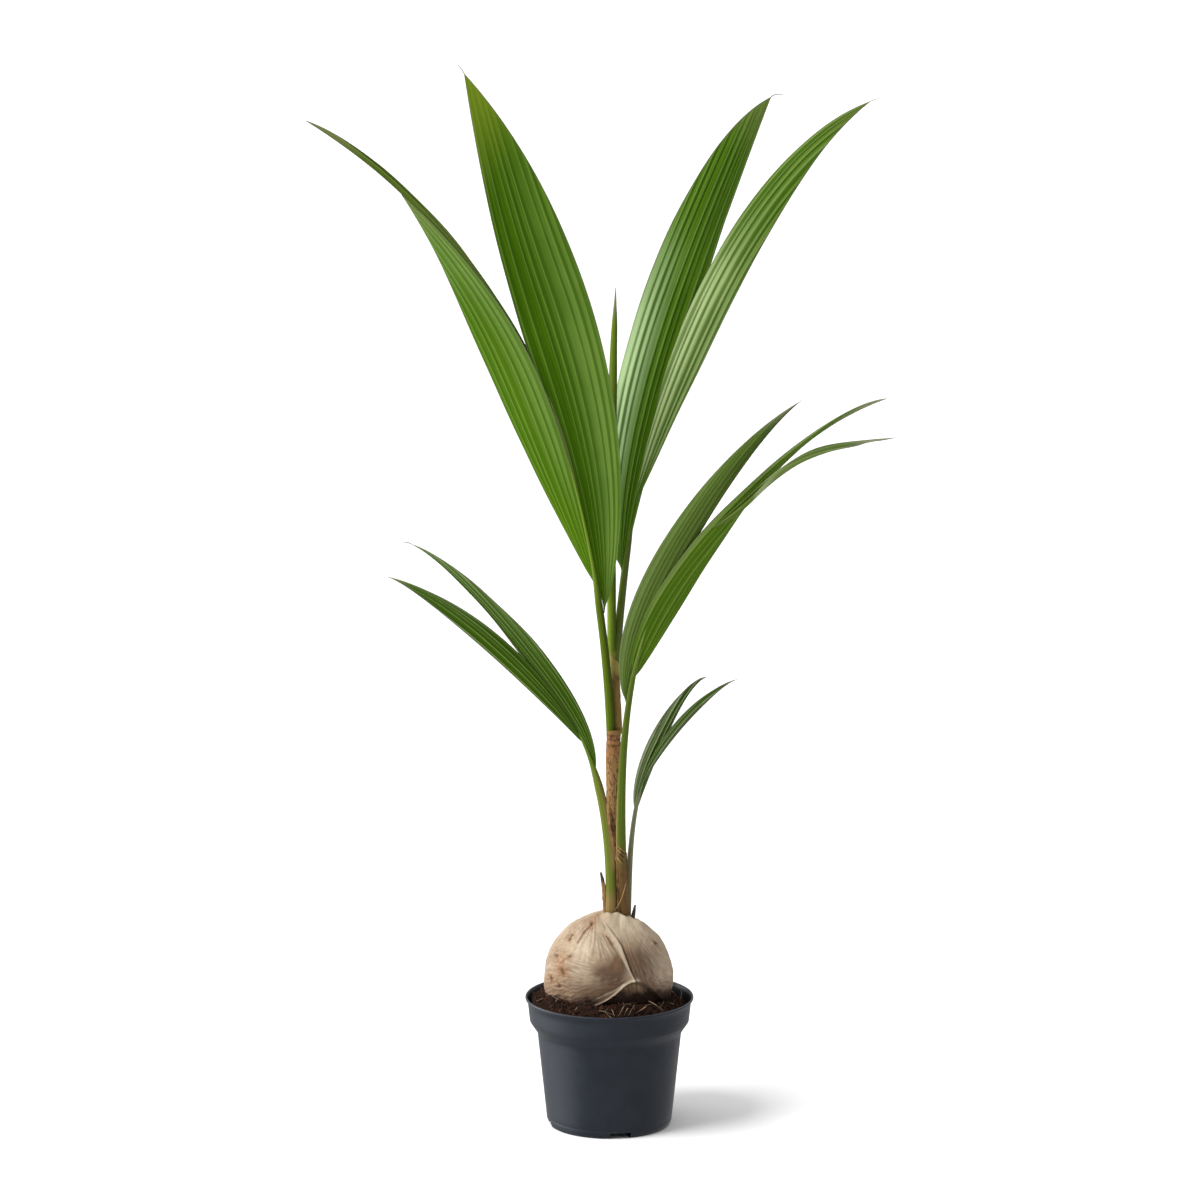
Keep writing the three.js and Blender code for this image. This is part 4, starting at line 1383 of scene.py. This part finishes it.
def margins(size):
    """Both margins of a lobe, row by row, and the way across it and the share of its length at each row."""
    length = np.linalg.norm(np.subtract(size["tip"], size["base"]))
    t = np.linspace(0, 1, int(length / LOBE_ROW))
    inside = np.clip(t, LOBE_INSET, 1 - LOBE_INSET)
    across = unit(margin(size, 1, inside) - margin(size, 0, inside))
    left = margin(size, 0, t)
    right = margin(size, 1, t)
    open_share = 0.3 + 0.7 * smooth(t, 0, LOBE_OPENING)
    end_width = LOBE_TIP_WIDTH * smooth(t, 0.7, 1) + LOBE_BASE_WIDTH * (1 - smooth(t, 0, 0.2))
    middle = 0.5 * (left + right)
    half = 0.5 * (open_share[:, None] * (right - left) + end_width[:, None] * across)
    return middle - half, middle + half, across, t


def with_thread(left, right, across, t, end):
    """Carries the margins on past the tip of a lobe into a wisp that goes to end."""
    u = np.linspace(0, 1, THREAD_ROWS + 1)[1:, None]
    start = 0.5 * (left[-1] + right[-1])
    ahead = unit(start - 0.5 * (left[-4] + right[-4]))
    bend = start + 0.5 * np.linalg.norm(np.array(end) - start) * ahead
    middle = (1 - u) ** 2 * start + 2 * u * (1 - u) * bend + u**2 * np.array(end)
    half = 0.5 * across[-1] * (LOBE_TIP_WIDTH + (THREAD_WIDTH - LOBE_TIP_WIDTH) * u)
    left = np.concatenate([left, middle - half])
    right = np.concatenate([right, middle + half])
    across = np.concatenate([across, np.repeat(across[-1:], THREAD_ROWS, 0)])
    return left, right, across, np.concatenate([t, 1 + u[:, 0]])


def pleated(size, width, s):
    """The count of pleats at each row and column, how near each place is to a crest, the side it faces and
    its height.

    Seen from left to right each pleat rises over a wide facet and falls over a narrow one."""
    from_left = size["inner"] == "left"
    counted = s if from_left else 1 - s
    share = width / width.max()
    kept = np.where(np.arange(len(width)) < width.argmax(), 1, share**0.7)
    pleat = size["pleats"] * kept[:, None] * counted[None]
    phase = rng.uniform(0, 2 * math.pi)
    uneven = pleat + 0.15 * np.sin(1.9 * pleat + phase) + 0.09 * np.sin(4.3 * pleat + 2 * phase)
    place = uneven % 1 if from_left else 1 - uneven % 1
    wide = size["wide"]
    on_wide = place < wide
    rising = place / wide
    falling = (place - wide) / (1 - wide)
    ramp = np.where(on_wide, 2 * rising - 1, 1 - 2 * falling)
    crest = ramp * (1 + PLEAT_ROUNDING * 0.5 * (1 - ramp**2))
    depth = 0.7 + 0.4 * np.sin(2.3 * np.floor(uneven) + phase)
    facing = depth * np.where(on_wide, np.sin(math.pi * rising), -np.sin(math.pi * falling))
    pitch = width / (size["pleats"] * kept)
    return pleat, crest, facing, 0.25 * size["slope"] * pitch[:, None] * crest


def lobe(name, size, paint, node):
    """A pleated lobe, thin, with a front and a back."""
    left, right, across, t = margins(size)
    if "thread" in size:
        left, right, across, t = with_thread(left, right, across, t, size["thread"])
    width = np.linalg.norm(right - left, axis=1)
    along = unit(np.gradient(0.5 * (left + right), axis=0))
    normal = unit(np.cross(across, along))
    s = np.linspace(0, 1, max(LEAST_STEPS, int(width.max() / LOBE_COLUMN)))
    edge = np.minimum(s, 1 - s)[None] * width[:, None]
    pleat, crest, facing, rise = pleated(size, width, s)
    bow = np.sin(math.pi * np.clip(t, 0, 1))[:, None]
    middle = left[:, None] + (right - left)[:, None] * s[None, :, None]
    sway = ripple(middle[:, 0], FLUTTER_LENGTH, len(name))[:, None]
    lift = rise * smooth(edge, 0, PLEAT_FADE) + size["camber"] * bow * (4 * s * (1 - s))[None]
    lift = lift + FLUTTER * sway * bow * ((2 * s - 1) ** 3)[None]
    middle = middle + lift[..., None] * normal[:, None]
    body = (1 - (2 * s - 1) ** 4)[None] * smooth(t, -0.02, 0.05)[:, None] * smooth(t, 1.02, 0.9)[:, None]
    half = 0.5 * (LOBE_EDGE_THICKNESS + (LOBE_THICKNESS - LOBE_EDGE_THICKNESS) * body)
    offset = half[..., None] * normal[:, None]
    sections = np.concatenate([middle + offset, (middle - offset)[:, ::-1]], 1)

    pale = 0 * edge
    for first, last, low, high, amount in size["pale"]:
        pale = pale + amount * smooth(s, first, last)[None] * smooth(t, low, high)[:, None]
    pale = np.clip(pale, 0, 1)
    values = dict(pleat=pleat, along=t[:, None], crest=crest, edge=edge, facing=facing, pale=pale)
    attributes = {}
    for key, value in values.items():
        value = np.broadcast_to(value, edge.shape)
        attributes[key] = np.concatenate([value, value[:, ::-1]], 1)
    shell(name, sections, paint, [node], attributes)


def fronds():
    paints = {look: leaf_paint(f"leaf_{look}", **colours) for look, colours in LEAF_LOOKS.items()}
    for name, size in LOBES.items():
        lobe(f"leaf_{name}", size, paints[size["look"]], f"frond_{name}")


# Studio


def camera():
    data = bpy.data.cameras.new("camera")
    data.lens = CAMERA_LENS
    view = placed("camera", data)
    pitch = math.radians(CAMERA_PITCH)
    back = np.array([0, -math.cos(pitch), math.sin(pitch)]) * CAMERA_DISTANCE * MM
    view.location = np.array(CAMERA_TARGET) * MM + back
    view.rotation_euler = (math.pi / 2 - pitch, 0, 0)
    bpy.context.scene.camera = view


def key_light():
    """One soft lamp, far away to the left."""
    data = bpy.data.lights.new("key", "SUN")
    data.energy = KEY_STRENGTH
    data.angle = math.radians(KEY_SPREAD)
    lamp = placed("key", data)
    lamp.rotation_euler = (math.radians(90 - KEY_HEIGHT), 0, math.radians(-KEY_SIDE))


def rim_light():
    """A weak softbox behind on the left, which lights the left edges."""
    data = bpy.data.lights.new("rim", "AREA")
    data.shape = "RECTANGLE"
    data.size, data.size_y = RIM_LIGHT_SIZE
    data.energy = RIM_LIGHT_POWER
    lamp = placed("rim", data)
    lamp.location = RIM_LIGHT_PLACE
    x, y, z = np.subtract(RIM_LIGHT_TARGET, RIM_LIGHT_PLACE)
    lamp.rotation_euler = (math.atan2(math.hypot(x, y), -z), 0, math.atan2(y, x) - math.pi / 2)


def floor():
    half = FLOOR_HALF
    mesh = bpy.data.meshes.new("floor")
    corners = [(-half, -half, 0), (half, -half, 0), (half, half, 0), (-half, half, 0)]
    mesh.from_pydata(corners, [], [(0, 1, 2, 3)])
    paint = Paint("floor", 0.0)
    paint.set("Roughness", 0.9)
    paint.set("Base Color", (FLOOR_WHITE, FLOOR_WHITE, FLOOR_WHITE, 1))
    mesh.materials.append(paint.material)
    ground = placed("floor", mesh)
    ground.visible_glossy = False


def sky():
    """Soft light from all round, stronger from above, from behind and from the left."""
    world = bpy.data.worlds.new("studio")
    nodes = Nodes(world)
    place = nodes.node("ShaderNodeTexCoord", {}).outputs["Generated"]
    split = nodes.node("ShaderNodeSeparateXYZ", {0: place})
    strength = 0.0
    for axis, *limits in SKY_PARTS:
        strength = nodes.plus(strength, nodes.between(split.outputs[axis], *limits, ease="LINEAR"))
    background = nodes.tree.nodes["Background"]
    nodes.feed(background.inputs["Strength"], strength)
    nodes.feed(background.inputs["Color"], (1, 1, 1, 1))
    bpy.context.scene.world = world


def studio():
    bpy.context.scene.view_settings.view_transform = "Standard"
    camera()
    floor()
    sky()
    key_light()
    rim_light()


pot()
soil()
crumbs("crumbs_dark", CRUMB_COUNT, CRUMB_SIZE, soil_paint("crumb_dark", (28, 17, 12), (60, 37, 26)))
crumbs("crumbs_red", CRUMB_COUNT // 3, RED_CRUMB_SIZE, soil_paint("crumb_red", (58, 35, 25), (98, 66, 47)))
coir()
husk()
sheaths()
stalks()
spear()
fronds()
studio()

bpy.context.view_layer.update()
